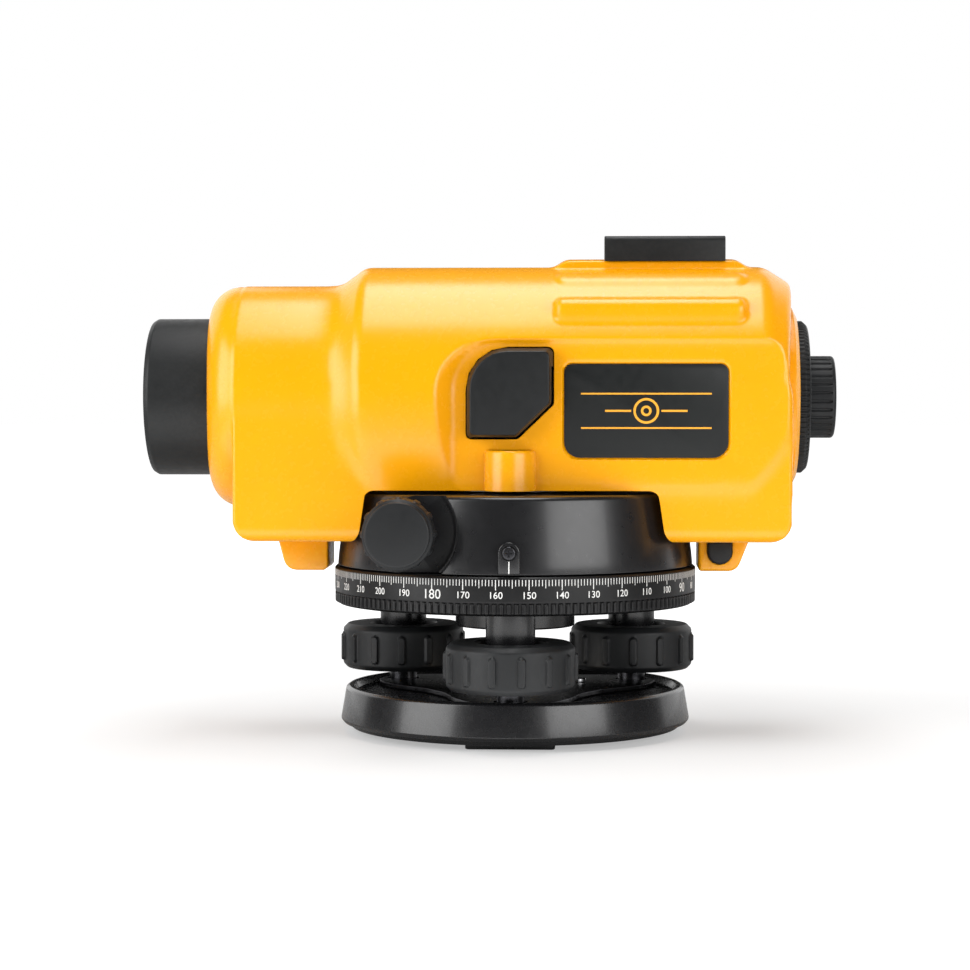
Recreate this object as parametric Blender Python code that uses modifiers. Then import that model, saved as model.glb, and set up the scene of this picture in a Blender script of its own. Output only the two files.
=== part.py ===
"""Automatic level: a surveyor's telescope with a self-levelling line of sight, on a three-screw levelling base.

Sizes are in millimetres in the instrument's own frame: the vertical axis is x = y = 0, the pads that the base
stands on are z = 0, the objective points along -X and the eyepiece along +X. Helpers turn them into metres.
One empty shifts the whole instrument so that the overall length is centred on the world origin.
"""

import math

import bmesh
import bpy
from mathutils import Matrix, Vector

MM = 0.001
GAP = 0.3                      # running and seating gap between separate pieces
WELD = 1e-6                    # metres, for welding a converted curve's caps

# ---- driving dimensions ----
AXIS_X = 6.9                   # vertical axis, from the middle of the overall length
SIGHT_Z = 101.6                # height of the telescope's axis
OBJECTIVE_X = -110.3           # front edge of the objective barrel
EYEPIECE_X = 96.5              # rear edge of the eyepiece ring
SIGHT_TOP_Z = 150.0            # top of the open sight

# levelling base
BASE_R = 54.0
PAD_H = 1.5
RIM_Z = 14.0
FLOOR_Z = 11.5
SCREW_CIRCLE_R = 41.3
BALL_R = 4.7
BALL_Z = 8.5
KNOB_R = 18.8
KNOB_LOW_Z = 16.9
KNOB_TOP_Z = 30.8
KNOB_RIBS = 14
SPINDLE_R = 4.2
TRIPOD_BORE_R = 7.2            # 5/8 inch tripod screw, minor radius of the thread

# tribrach and horizontal circle
SLEEVE_R = 7.2
TRIBRACH_R = 49.0
TRIBRACH_TOP_Z = 48.6
HUB_R = 18.2
HUB_LOW_Z = 31.9
CIRCLE_R = 54.9
CIRCLE_LOW_Z = 39.2
CIRCLE_TOP_Z = 50.5
AXIS_R = 8.0

# alidade drum and tangent drive
DRUM_LOW_R = 54.0
DRUM_TOP_R = 51.2
DRUM_LOW_Z = 50.9
DRUM_TOP_Z = 73.2
WORM_X = -31.5
WORM_Z = 62.8
WHEEL_TEETH = 60
WHEEL_PITCH_R = 27.0
WORM_PITCH = 2 * math.pi * WHEEL_PITCH_R / WHEEL_TEETH
TANGENT_KNOB_R = 10.7
TANGENT_INNER_Y = 49.0
TANGENT_OUTER_Y = 62.0

# housing
WALL = 2.5
FRONT_R = 33.5                 # round front section, and half the width between the skirts
MAIN_R = 39.3                  # round main section
PANEL_Y = 35.1                 # flat side panel
PANEL_X = -21.0                # front edge of the panel
PANEL_TOP_Z = 119.3
UNDERSIDE_Z = 74.3
LEG_Z = 59.1
LEG_FRONT_X = -82.2
LEG_REAR_X = 81.1
NOSE_X = -92.9
TAIL_X = 83.0
RIB_RISE = 2.4                 # raised ribs along the roof
RIB_FRONT_X = 12.5
RIB_REAR_X = 69.0
RIB_SPANS = ((-35, 35), (44, 57.5), (-57.5, -44))      # degrees from the vertical

# optics
BARREL_R = 23.8
TUBE_R = 20.4
TUBE_BORE_R = 18.0
FOCUS_X = 0.0
FOCUS_Z = 94.0
PINION_TEETH = 9
PINION_PITCH_R = 3.6
RACK_PITCH = 2 * math.pi * PINION_PITCH_R / PINION_TEETH
COMPENSATOR_X = 41.0
BEZEL_R = 27.1
COVER_R = 23.0
EYEPIECE_R = 12.4

BUTTON_AT = (61.9, 0, 54.6)
BUTTON_R = 3.7

ROUND = 36                     # steps round a large turned piece
SMALL_ROUND = 16               # steps round a small one

FINISHES = {
    "yellow": ((0.95, 0.52, 0.01), 0.35, 0.0),
    "black_paint": ((0.012, 0.012, 0.013), 0.35, 0.0),
    "black_plastic": ((0.02, 0.021, 0.023), 0.55, 0.0),
    "steel": ((0.55, 0.56, 0.58), 0.3, 1.0),
    "brass": ((0.72, 0.52, 0.22), 0.35, 1.0),
    "aluminium": ((0.62, 0.63, 0.65), 0.45, 1.0),
    "glass": ((0.75, 0.85, 0.82), 0.05, 0.0),
    "mirror": ((0.9, 0.92, 0.93), 0.03, 1.0),
}


# ---- scene, frames and materials ----

def clear_scene():
    for obj in list(bpy.data.objects):
        bpy.data.objects.remove(obj)


def collection(name):
    made = bpy.data.collections.new(name)
    bpy.context.scene.collection.children.link(made)
    return made


clear_scene()
PARTS = collection("automatic_level")
HELPERS = collection("cutters")
FRAMES = {}


def frame(name, at, parent=None):
    """An empty on a joint's axis. Its children keep their sizes in the instrument's frame."""
    empty = bpy.data.objects.new(name + "_axis", None)
    PARTS.objects.link(empty)
    if parent:
        empty.parent = FRAMES[parent][0]
        empty.location = (Vector(at) - FRAMES[parent][1]) * MM
    else:
        empty.location = (Vector(at) + Vector((AXIS_X, 0, 0))) * MM
    FRAMES[name] = (empty, Vector(at))


def finish_material(name):
    found = bpy.data.materials.get(name)
    if found:
        return found
    colour, roughness, metallic = FINISHES[name]
    made = bpy.data.materials.new(name)
    made.use_nodes = True
    shader = made.node_tree.nodes["Principled BSDF"]
    shader.inputs["Base Color"].default_value = (*colour, 1.0)
    shader.inputs["Roughness"].default_value = roughness
    shader.inputs["Metallic"].default_value = metallic
    return made


def put(obj, body):
    """Makes obj a piece of that body, or with no body a cutter."""
    if body is None:
        HELPERS.objects.link(obj)
        obj.hide_render = True
        obj.display_type = "WIRE"
        obj.parent = FRAMES["base"][0]
    else:
        PARTS.objects.link(obj)
        obj.parent = FRAMES[body][0]
        obj.matrix_parent_inverse = Matrix.Translation(-FRAMES[body][1] * MM)


TURN = {"Z": (0, 0, 0), "X": (0, math.pi / 2, 0), "Y": (-math.pi / 2, 0, 0)}


def made_from(mesh, name, body, finish, at=(0, 0, 0), along="Z"):
    obj = bpy.data.objects.new(name, mesh)
    put(obj, body)
    obj.location = Vector(at) * MM
    obj.rotation_euler = TURN[along]
    if finish:
        mesh.materials.append(finish_material(finish))
    return obj


# ---- shapes ----

def turned(name, profile, body=None, finish=None, at=(0, 0, 0), along="Z", steps=ROUND):
    """A profile of (radius, height) turned about its axis. Its outer side runs from high to low."""
    closed = profile[0][0] > 0
    mesh = bpy.data.meshes.new(name)
    points = [(r * MM, 0, h * MM) for r, h in profile]
    edges = [(i, i + 1) for i in range(len(points) - 1)]
    if closed:
        edges.append((len(points) - 1, 0))
    mesh.from_pydata(points, edges, [])
    obj = made_from(mesh, name, body, finish, at, along)
    screw = obj.modifiers.new("turn", "SCREW")
    screw.angle = 2 * math.pi
    screw.steps = screw.render_steps = steps
    screw.use_merge_vertices = True
    screw.merge_threshold = 1e-5
    screw.use_smooth_shade = True
    return obj


def rod(name, radius, low, high, body=None, finish=None, at=(0, 0, 0), along="Z", steps=SMALL_ROUND):
    profile = [(0, high), (radius, high), (radius, low), (0, low)]
    return turned(name, profile, body, finish, at, along, steps)


def tube(name, outer, inner, low, high, body=None, finish=None, at=(0, 0, 0), along="Z", steps=ROUND):
    profile = [(outer, high), (outer, low), (inner, low), (inner, high)]
    return turned(name, profile, body, finish, at, along, steps)


def box(name, low, high, body=None, finish=None, bevel=0.0):
    low, high = Vector(map(min, low, high)), Vector(map(max, low, high))
    mesh = bpy.data.meshes.new(name)
    shape = bmesh.new()
    bmesh.ops.create_cube(shape, size=1.0)
    bmesh.ops.scale(shape, vec=(high - low) * MM, verts=shape.verts)
    shape.to_mesh(mesh)
    shape.free()
    obj = made_from(mesh, name, body, finish, (low + high) / 2)
    if bevel:
        rounding = obj.modifiers.new("rounded", "BEVEL")
        rounding.width = bevel * MM
        rounding.segments = 2
    return obj


def as_mesh(curve, name, body, finish):
    """The curve object made a welded mesh object, so that a Boolean can use it."""
    bpy.context.view_layer.update()
    graph = bpy.context.evaluated_depsgraph_get()
    mesh = bpy.data.meshes.new_from_object(curve.evaluated_get(graph))
    shape = bmesh.new()
    shape.from_mesh(mesh)
    bmesh.ops.remove_doubles(shape, verts=shape.verts, dist=WELD)
    bmesh.ops.recalc_face_normals(shape, faces=shape.faces)
    shape.to_mesh(mesh)
    shape.free()
    mesh.materials.clear()
    obj = made_from(mesh, name, body, finish)
    obj.location = curve.location
    obj.rotation_euler = curve.rotation_euler
    bpy.data.objects.remove(curve)
    return obj


def curve_object(name, data, at, along):
    curve = bpy.data.objects.new(name + "_curve", data)
    HELPERS.objects.link(curve)
    curve.location = Vector(at) * MM
    curve.rotation_euler = TURN[along]
    return curve


def plate(name, outlines, thickness, body=None, finish=None, at=(0, 0, 0), along="Z"):
    """A flat plate of outlines, the first its edge and the rest its holes, centred on its own plane."""
    data = bpy.data.curves.new(name, "CURVE")
    data.dimensions = "2D"
    data.fill_mode = "BOTH"
    data.extrude = thickness / 2 * MM
    for outline in outlines:
        spline = data.splines.new("POLY")
        spline.points.add(len(outline) - 1)
        for point, (x, y) in zip(spline.points, outline):
            point.co = (x * MM, y * MM, 0, 1)
        spline.use_cyclic_u = True
    return as_mesh(curve_object(name, data, at, along), name, body, finish)


def wire(name, points, radius, body=None, finish=None, at=(0, 0, 0), along="Z"):
    data = bpy.data.curves.new(name, "CURVE")
    data.dimensions = "3D"
    data.bevel_depth = radius * MM
    data.bevel_resolution = 0
    data.use_fill_caps = True
    spline = data.splines.new("POLY")
    spline.points.add(len(points) - 1)
    for point, (x, y, z) in zip(spline.points, points):
        point.co = (x * MM, y * MM, z * MM, 1)
    return as_mesh(curve_object(name, data, at, along), name, body, finish)


def boolean(obj, other, operation):
    step = obj.modifiers.new(operation.lower(), "BOOLEAN")
    step.operation = operation
    step.object = other
    return obj


def cut(obj, *cutters):
    for cutter in cutters:
        boolean(obj, cutter, "DIFFERENCE")
    return obj


def join(obj, *others):
    for other in others:
        boolean(obj, other, "UNION")
    return obj


def circle_points(radius, count, centre=(0, 0), start=0.0, sweep=2 * math.pi):
    """Points of an arc. A full circle leaves out its repeated last point."""
    full = abs(sweep - 2 * math.pi) < 1e-9
    parts = count if full else count - 1
    angles = [start + sweep * i / parts for i in range(count)]
    return [(centre[0] + radius * math.cos(a), centre[1] + radius * math.sin(a)) for a in angles]


def toothed(teeth, root, tip, root_share, tip_share, first=0.0):
    """A gear's outline. A tooth's shares are its half width at root and tip, in tooth pitches."""
    pitch = 2 * math.pi / teeth
    points = []
    for k in range(teeth):
        middle = first + k * pitch
        for radius, offset in ((root, -root_share), (tip, -tip_share), (tip, tip_share), (root, root_share)):
            angle = middle + offset * pitch
            points.append((radius * math.cos(angle), radius * math.sin(angle)))
    return points


def foot_screw_places():
    """The three foot screws: one at the front, facing -Y, and two at the rear."""
    angles = {"front": -90, "rear_right": 30, "rear_left": 150}
    return {
        side: (SCREW_CIRCLE_R * math.cos(math.radians(a)), SCREW_CIRCLE_R * math.sin(math.radians(a)))
        for side, a in angles.items()
    }


# ---- levelling base ----

def base_plate():
    profile = [
        (50.2, RIM_Z), (52.0, RIM_Z - 0.4), (BASE_R, 3.8), (BASE_R - 0.6, 3.0), (50.9, 3.0), (50.7, PAD_H),
        (13.0, PAD_H), (13.0, FLOOR_Z), (49.4, FLOOR_Z),
    ]
    base = turned("base_plate", profile, "base", "black_paint", steps=44)
    for side, (x, y) in foot_screw_places().items():
        pad = box(f"pad_{side}", (-13, -5, 0), (13, 5, PAD_H + 0.4))
        pad.location = Vector((x, y, (PAD_H + 0.4) / 2)) * MM
        pad.rotation_euler = (0, 0, math.atan2(y, x) + math.pi / 2)
        join(base, pad)
        cut(base, rod(f"socket_{side}", BALL_R + 0.5, 3.4, RIM_Z, at=(x, y, 0)))
    return base


def tripod_bush():
    profile = [
        (16.0, 14.0), (16.0, 11.9), (12.6, 11.9), (12.6, 2.0), (TRIPOD_BORE_R, 2.0), (TRIPOD_BORE_R, 14.0),
    ]
    turned("tripod_bush", profile, "base", "brass", steps=24)


def spring_plate():
    """The three-lobed plate that holds the foot screws' balls in their sockets."""
    lobe, waist = 47.6, 27.0
    edge = []
    for i in range(48):
        angle = 2 * math.pi * i / 48
        swell = (1 + math.cos(3 * (angle + math.pi / 2))) / 2
        radius = waist + (lobe - waist) * swell**1.4
        edge.append((radius * math.cos(angle), radius * math.sin(angle)))
    holes = [circle_points(SPINDLE_R + 0.9, 12, place) for place in foot_screw_places().values()]
    screws = spring_screw_places()
    holes += [circle_points(1.6, 8, place) for place in screws]
    plate(
        "spring_plate", [edge, circle_points(17.0, 24), *holes], 1.4, "base", "steel",
        at=(0, 0, FLOOR_Z + GAP + 0.8),
    )
    for i, (x, y) in enumerate(screws):
        head = [(0, 14.6), (2.6, 14.6), (2.6, 13.6), (1.3, 13.6), (1.3, FLOOR_Z + GAP), (0, FLOOR_Z + GAP)]
        turned(f"spring_plate_screw_{i + 1}", head, "base", "steel", at=(x, y, 0), steps=8)


def spring_screw_places():
    return [
        (22.0 * math.cos(math.radians(a)), 22.0 * math.sin(math.radians(a)))
        for a in (-90, 30, 150)
    ]


def foot_screw(side, place, ball_body):
    """Ball foot, spindle and knob of one foot screw."""
    top = BALL_Z + 3.5
    flat = math.sqrt(BALL_R**2 - 3.5**2)
    start = math.atan2(3.5, flat)
    arc = [start - (start + math.pi / 2) * i / 5 for i in range(6)]
    ball = [(0, top)] + [(BALL_R * math.cos(a), BALL_Z + BALL_R * math.sin(a)) for a in arc[:-1]]
    ball.append((0, BALL_Z - BALL_R))
    turned(f"{side}_foot_ball", ball, ball_body, "steel", at=(*place, 0), steps=12)

    spindle = [
        (0, 46.4), (3.4, 46.4), (3.9, 45.6), (3.9, 27.0), (SPINDLE_R, 26.6), (SPINDLE_R, top + 0.5),
        (0, top + 0.5),
    ]
    turned(f"{side}_foot_spindle", spindle, f"{side}_spindle", "steel", at=(*place, 0), steps=12)

    bore = SPINDLE_R + GAP
    knob = [
        (10.2, KNOB_TOP_Z), (16.6, KNOB_TOP_Z - 0.3), (KNOB_R, KNOB_TOP_Z - 1.9), (KNOB_R, KNOB_LOW_Z + 1.6),
        (17.2, KNOB_LOW_Z), (bore, KNOB_LOW_Z), (bore, 27.3), (9.6, 27.3),
    ]
    turned(f"{side}_foot_knob", knob, f"{side}_knob", "black_plastic", at=(*place, 0), steps=24)
    ribs = []
    for i in range(KNOB_RIBS):
        angle = 2 * math.pi * (i + 0.5) / KNOB_RIBS
        rib = box(f"{side}_rib_{i}", (KNOB_R - 0.9, -1.2, 20.0), (KNOB_R + 0.6, 1.2, 27.6))
        rib.rotation_euler = (0, 0, angle)
        middle = KNOB_R - 0.15
        rib.location = Vector(
            (place[0] + middle * math.cos(angle), place[1] + middle * math.sin(angle), 23.8)
        ) * MM
        ribs.append(rib)
    join(bpy.data.objects[f"{side}_foot_knob"], *ribs)


# ---- tribrach, circle and endless drive ----

def tribrach():
    bore = AXIS_R + GAP
    profile = [
        (14.0, 52.0), (14.0, TRIBRACH_TOP_Z), (TRIBRACH_R, TRIBRACH_TOP_Z), (TRIBRACH_R, 41.0), (HUB_R, 41.0),
        (HUB_R, HUB_LOW_Z), (bore, HUB_LOW_Z), (bore, 52.0),
    ]
    body = turned("tribrach", profile, "tribrach", "black_paint")
    for side, place in foot_screw_places().items():
        join(body, rod(f"sleeve_{side}", SLEEVE_R, 30.0, 45.0, at=(*place, 0), steps=18))
    for side, place in foot_screw_places().items():
        cut(body, rod(f"nut_{side}", SPINDLE_R + 0.2, 29.0, 50.0, at=(*place, 0), steps=14))
    spindle = [(0, 70.0), (6.8, 70.0), (AXIS_R, 68.6), (AXIS_R, HUB_LOW_Z + 0.5), (0, HUB_LOW_Z + 0.5)]
    turned("vertical_axis", spindle, "tribrach", "steel", steps=20)


def horizontal_circle():
    profile = [
        (CIRCLE_R - 0.3, CIRCLE_TOP_Z), (CIRCLE_R, CIRCLE_TOP_Z - 0.4), (CIRCLE_R, CIRCLE_LOW_Z + 0.6),
        (CIRCLE_R - 0.6, CIRCLE_LOW_Z), (51.4, CIRCLE_LOW_Z), (51.4, 49.3), (46.0, 49.3), (46.0, CIRCLE_TOP_Z),
    ]
    turned("horizontal_circle", profile, "circle", "black_paint", steps=44)


def worm_wheel():
    # A gap between two teeth faces the worm.
    root, tip, pitch = WHEEL_PITCH_R - 1.5, WHEEL_PITCH_R + 0.2, 2 * math.pi / WHEEL_TEETH
    rim = []
    for k in range(WHEEL_TEETH):
        for radius, share in ((root, 0.0), (tip, 0.4), (tip, 0.6)):
            rim.append((radius * math.cos((k + share) * pitch), radius * math.sin((k + share) * pitch)))
    wheel = plate(
        "worm_wheel", [rim, circle_points(17.0, 24)], 3.0, "worm_wheel", "brass", at=(0, 0, WORM_Z)
    )
    join(wheel, tube("wheel_collar", 21.0, 17.0, 53.2, 63.0, steps=24))
    tube("friction_washer", 20.5, AXIS_R + 0.8, 52.3, 52.9, "worm_wheel", "steel", steps=24)


def drum_housing():
    """The alidade's drum, with a hub for the bearing bush and two bosses for the tangent shaft."""
    profile = [
        (DRUM_TOP_R - 1.4, DRUM_TOP_Z), (DRUM_TOP_R, DRUM_TOP_Z - 1.4), (DRUM_LOW_R, DRUM_LOW_Z), (51.0, DRUM_LOW_Z),
        (48.2, 70.2), (16.2, 70.2), (16.2, 56.0), (12.3, 56.0), (12.3, DRUM_TOP_Z),
    ]
    drum = turned("drum_housing", profile, "alidade", "black_paint", steps=44)
    for side, sign in (("left", -1), ("right", 1)):
        low, high = sorted((sign * 39.5, sign * 48.6))
        join(drum, rod(f"boss_{side}", 7.0, low, high, at=(WORM_X, 0, WORM_Z), along="Y"))
    cut(drum, rod("tangent_hole", 2.2 + GAP, -60, 60, at=(WORM_X, 0, WORM_Z), along="Y", steps=16))
    cut(drum, box("wheel_room", (WORM_X - 7, -11, 56.5), (WORM_X + 9, 11, 69.0)))
    tube("bearing_bush", 12.0, AXIS_R + GAP, 56.0, 73.0, "alidade", "brass", steps=20)


def tangent_drive():
    """Worm shaft across the drum, with a knob on each end."""
    shaft = rod("worm_shaft", 2.2, -57.4, 57.4, "tangent_drive", "steel", (WORM_X, 0, WORM_Z), "Y", 16)
    core = rod("worm_core", 3.9, -8.0, 8.0, at=(WORM_X, 0, WORM_Z), along="Y", steps=16)
    turns, per_turn, thread_r = 4, 10, 4.3
    points = []
    for i in range(turns * per_turn + 1):
        turn = i / per_turn - turns / 2
        angle = 2 * math.pi * turn
        points.append((thread_r * math.cos(angle), thread_r * math.sin(angle), WORM_PITCH * turn))
    thread = wire("worm_thread", points, 0.5, at=(WORM_X, 0, WORM_Z), along="Y")
    join(shaft, core, thread)
    for side, sign in (("left", -1), ("right", 1)):
        scallops = []
        for i in range(10):
            angle = 2 * math.pi * i / 10
            scallops += [(TANGENT_KNOB_R, angle - 0.16), (TANGENT_KNOB_R, angle + 0.16), (9.7, angle + 0.314)]
        outline = [(r * math.cos(a), r * math.sin(a)) for r, a in scallops]
        grip = (TANGENT_INNER_Y + TANGENT_OUTER_Y - 2.0) / 2
        knob = plate(
            f"tangent_knob_{side}", [outline], TANGENT_OUTER_Y - TANGENT_INNER_Y - 2.0, "tangent_drive",
            "black_plastic", at=(WORM_X, sign * grip, WORM_Z), along="Y",
        )
        low, high = sorted((sign * 55.0, sign * TANGENT_OUTER_Y))
        join(knob, rod(f"knob_face_{side}", 9.3, low, high, at=(WORM_X, 0, WORM_Z), along="Y"))
        low, high = sorted((sign * 40.0, sign * 58.0))
        cut(knob, rod(f"knob_bore_{side}", 2.5, low, high, at=(WORM_X, 0, WORM_Z), along="Y", steps=12))


def index_mark():
    """The pointer plate on the drum that the circle is read against, and its screw."""
    flat = [(-3.1, 51.4), (3.1, 51.4)] + circle_points(3.1, 8, (0, 57.4), 0.0, math.pi)
    # An outline along Y lies in X and -Z, so its heights are turned over.
    outline = [(x, -z) for x, z in flat]
    pointer = plate("index_pointer", [outline], 1.0, "alidade", "black_paint", (0, -54.9, 0), "Y")
    cut(pointer, rod("pointer_hole", 1.5, -58, -50, at=(0, 0, 57.4), along="Y", steps=12))
    head = [(0, -53.9), (1.0, -53.9), (1.0, -55.5), (2.0, -55.9), (2.0, -56.2), (0, -56.2)]
    turned("index_screw", head, "alidade", "steel", at=(0, 0, 57.4), along="Y", steps=12)


# ---- housing ----

def barrel_profile(inset):
    """The housing's round sections, as (radius, x) from tail to nose, drawn in by the inset."""
    outer = [
        (26.0, TAIL_X), (30.0, TAIL_X - 0.3), (34.2, 81.6), (37.6, 78.9), (MAIN_R, 74.7), (MAIN_R, -44.2),
        (38.6, -47.6), (36.8, -50.6), (FRONT_R, -52.8), (FRONT_R, -83.4), (32.2, -87.6), (29.6, -90.8),
        (26.4, -92.5), (24.5, NOSE_X),
    ]
    drawn = [(r - inset, min(x, TAIL_X - inset) if x > 0 else max(x, NOSE_X + inset)) for r, x in outer]
    return [(0, drawn[0][1])] + drawn + [(0, drawn[-1][1])]


def housing_form(name, inset):
    """The housing's solid form without its openings, drawn in by the inset."""
    form = turned(name, barrel_profile(inset), at=(0, 0, SIGHT_Z), along="X", steps=40)
    for sign in (-1, 1):
        low, high = sorted((sign * (PANEL_Y - inset), sign * 60))
        flank = box(f"{name}_flank_{sign}", (PANEL_X - inset, low, 40), (120, high, PANEL_TOP_Z + inset))
        cut(form, flank)
    panel = box(
        f"{name}_panel", (PANEL_X - inset, inset - PANEL_Y, UNDERSIDE_Z - 4),
        (LEG_REAR_X - 0.6 - inset, PANEL_Y - inset, PANEL_TOP_Z - 1.0),
    )
    belly = box(
        f"{name}_belly", (LEG_FRONT_X + inset, inset - FRONT_R, LEG_Z + inset),
        (LEG_REAR_X - inset, FRONT_R - inset, SIGHT_Z), bevel=5.0 - inset,
    )
    return join(form, belly, panel)


def drum_room(name, allowance):
    """The room that the housing leaves round the drum: a cone, wider at its foot."""
    profile = [
        (0, UNDERSIDE_Z + allowance), (54.4 + allowance, UNDERSIDE_Z + allowance), (58.2 + allowance, 40),
        (0, 40),
    ]
    return turned(name, profile, steps=44)


def roof_rib(name, low_deg, high_deg):
    """A raised rib that follows the roof between two angles from the vertical."""
    count = 5
    angles = [math.radians(low_deg + (high_deg - low_deg) * i / (count - 1)) for i in range(count)]
    top = [((MAIN_R + RIB_RISE) * math.sin(a), (MAIN_R + RIB_RISE) * math.cos(a)) for a in angles]
    low = [((MAIN_R - 1.0) * math.sin(a), (MAIN_R - 1.0) * math.cos(a)) for a in reversed(angles)]
    # Along X, a plate's own axes lie along -Z and Y.
    outline = [(-z, y) for y, z in top + low]
    middle = ((RIB_FRONT_X + RIB_REAR_X) / 2, 0, SIGHT_Z)
    return plate(name, [outline], RIB_REAR_X - RIB_FRONT_X, at=middle, along="X")


def hood_outline(grow):
    """The bubble hood's outline in (x, z): round at its upper front, cut away at its lower rear."""
    round_r = 11.5
    front, rear, low, high = -13.9 - grow, 12.1 + grow, 89.6 - grow, 116.2 + grow
    arc = circle_points(round_r, 7, (front + round_r, high - round_r), math.pi, -math.pi / 2)
    return [(front, low)] + arc + [(rear, high), (rear, 100.2 - grow / 2), (2.2 + grow / 2, low)]


def side_plate(name, outline, low_y, high_y, body=None, finish=None):
    """A plate of an (x, z) outline between two y values."""
    flat = [(x, -z) for x, z in outline]
    middle = (low_y + high_y) / 2
    return plate(name, [flat], high_y - low_y, body, finish, at=(0, middle, 0), along="Y")


NAME_PLATE = (15.4, 63.2, 84.0, 111.4)         # x from and to, z from and to
VIAL_AT = (-0.4, -33.0)
VIAL_BOSS_R = 7.6
VIAL_BOSS_TOP = 86.2
HOUSING_SCREWS = ((-74.0, 66.0, FRONT_R), (-74.0, 90.0, FRONT_R), (70.0, 66.0, FRONT_R), (68.0, 108.0, PANEL_Y))


def housing_half(name, sign):
    """One half of the housing, on the side of y that the sign gives."""
    shell = housing_form(name + "_form", 0.0)
    for k, span in enumerate(RIB_SPANS):
        join(shell, roof_rib(f"{name}_rib_{k}", *span))
    inside = cut(housing_form(name + "_inside", WALL), drum_room(name + "_inner_room", WALL))
    if sign < 0:
        join(shell, rod("vial_boss", VIAL_BOSS_R, UNDERSIDE_Z, VIAL_BOSS_TOP, at=(*VIAL_AT, 0)))
        pocket = rod("vial_wall", VIAL_BOSS_R, UNDERSIDE_Z - 1, VIAL_BOSS_TOP, at=(*VIAL_AT, 0))
        cut(inside, pocket)
    openings = [
        drum_room(name + "_room", 0.0),
        inside,
        rod(name + "_nose_bore", BARREL_R + GAP, -100, -80, at=(0, 0, SIGHT_Z), along="X", steps=28),
        rod(name + "_tail_bore", 16.4, 70, 90, at=(0, 0, SIGHT_Z), along="X", steps=24),
        rod(name + "_floor_hole", 26.0, 70, 80, steps=28),
        box(name + "_other_half", (-130, sign * GAP / 2, 30), (130, -sign * 60, 170)),
    ]
    if sign < 0:
        x0, x1, z0, z1 = NAME_PLATE
        openings += [
            side_plate("hood_opening", hood_outline(GAP), -42, -25),
            rod("vial_bore", 6.3, 79.6, VIAL_BOSS_TOP + 0.1, at=(*VIAL_AT, 0)),
            box("name_recess", (x0 - GAP, -40, z0 - GAP), (x1 + GAP, -PANEL_Y + 0.8, z1 + GAP)),
        ]
    else:
        openings.append(rod("focus_hole", 5.0, 30, 40, at=(FOCUS_X, 0, FOCUS_Z), along="Y"))
        for i, (x, z, face) in enumerate(HOUSING_SCREWS):
            openings.append(rod(f"seat_{i}", 3.1, face - 1.5, 45, at=(x, 0, z), along="Y", steps=12))
            openings.append(rod(f"clear_{i}", 1.6, 25, 45, at=(x, 0, z), along="Y", steps=8))
    cut(shell, *openings)
    HELPERS.objects.unlink(shell)
    shell.name = name
    put(shell, "alidade")
    shell.hide_render = False
    shell.display_type = "TEXTURED"
    shell.data.materials.append(finish_material("yellow"))


def housing():
    housing_half("housing_left", -1)
    housing_half("housing_right", 1)
    for i, (x, z, face) in enumerate(HOUSING_SCREWS):
        head = [(0, face - 0.1), (2.4, face - 0.3), (2.7, face - 1.2), (1.3, face - 1.2), (1.3, 27.5), (0, 27.5)]
        turned(f"housing_screw_{i + 1}", head, "alidade", "steel", at=(x, 0, z), along="Y", steps=12)


def foot_blocks():
    """The two low blocks at either end of the drum. The rear one carries the check button."""
    front = [(-56.4, 58.8), (-71.4, 58.8), (-69.4, 51.0), (-66.0, 49.2), (-57.6, 49.2), (-56.4, 50.4)]
    rear = [(56.4, 58.8), (56.4, 49.2), (66.8, 49.2), (69.6, 51.8), (71.4, 58.8)]
    side_plate("front_foot_block", front, -10.0, 10.0, "alidade", "yellow")
    block = side_plate("rear_foot_block", rear, -10.0, 10.0, "alidade", "yellow")
    cut(block, rod("button_hole", BUTTON_R + 0.2, -20, -1.0, at=BUTTON_AT, along="Y"))
    button = [(0, -4.2), (BUTTON_R, -4.2), (BUTTON_R, -11.0), (BUTTON_R - 1.0, -12.0), (0, -12.0)]
    turned("check_button", button, "check_button", "black_plastic", at=BUTTON_AT, along="Y", steps=20)


def open_sight():
    """The sight on the roof, with a V groove to look along."""
    low, high = SIGHT_Z + MAIN_R + RIB_RISE + GAP, SIGHT_TOP_Z
    outline = [
        (9.0, 142.6), (9.0, high - 0.6), (8.4, high), (2.6, high), (0.0, high - 3.2), (-2.6, high),
        (-8.4, high), (-9.0, high - 0.6), (-9.0, 142.6), (-7.2, 143.0), (-3.6, low), (3.6, low), (7.2, 143.0),
    ]
    flat = [(-z, y) for y, z in outline]
    length_low, length_high = 26.5, 63.4
    sight = plate(
        "open_sight", [flat], length_high - length_low, "alidade", "black_plastic",
        at=((length_low + length_high) / 2, 0, 0), along="X",
    )
    clearance = tube(
        "pad_clearance", MAIN_R + RIB_RISE + GAP, 20, 10, 80, at=(0, 0, SIGHT_Z), along="X", steps=60
    )
    cut(sight, clearance)


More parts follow.
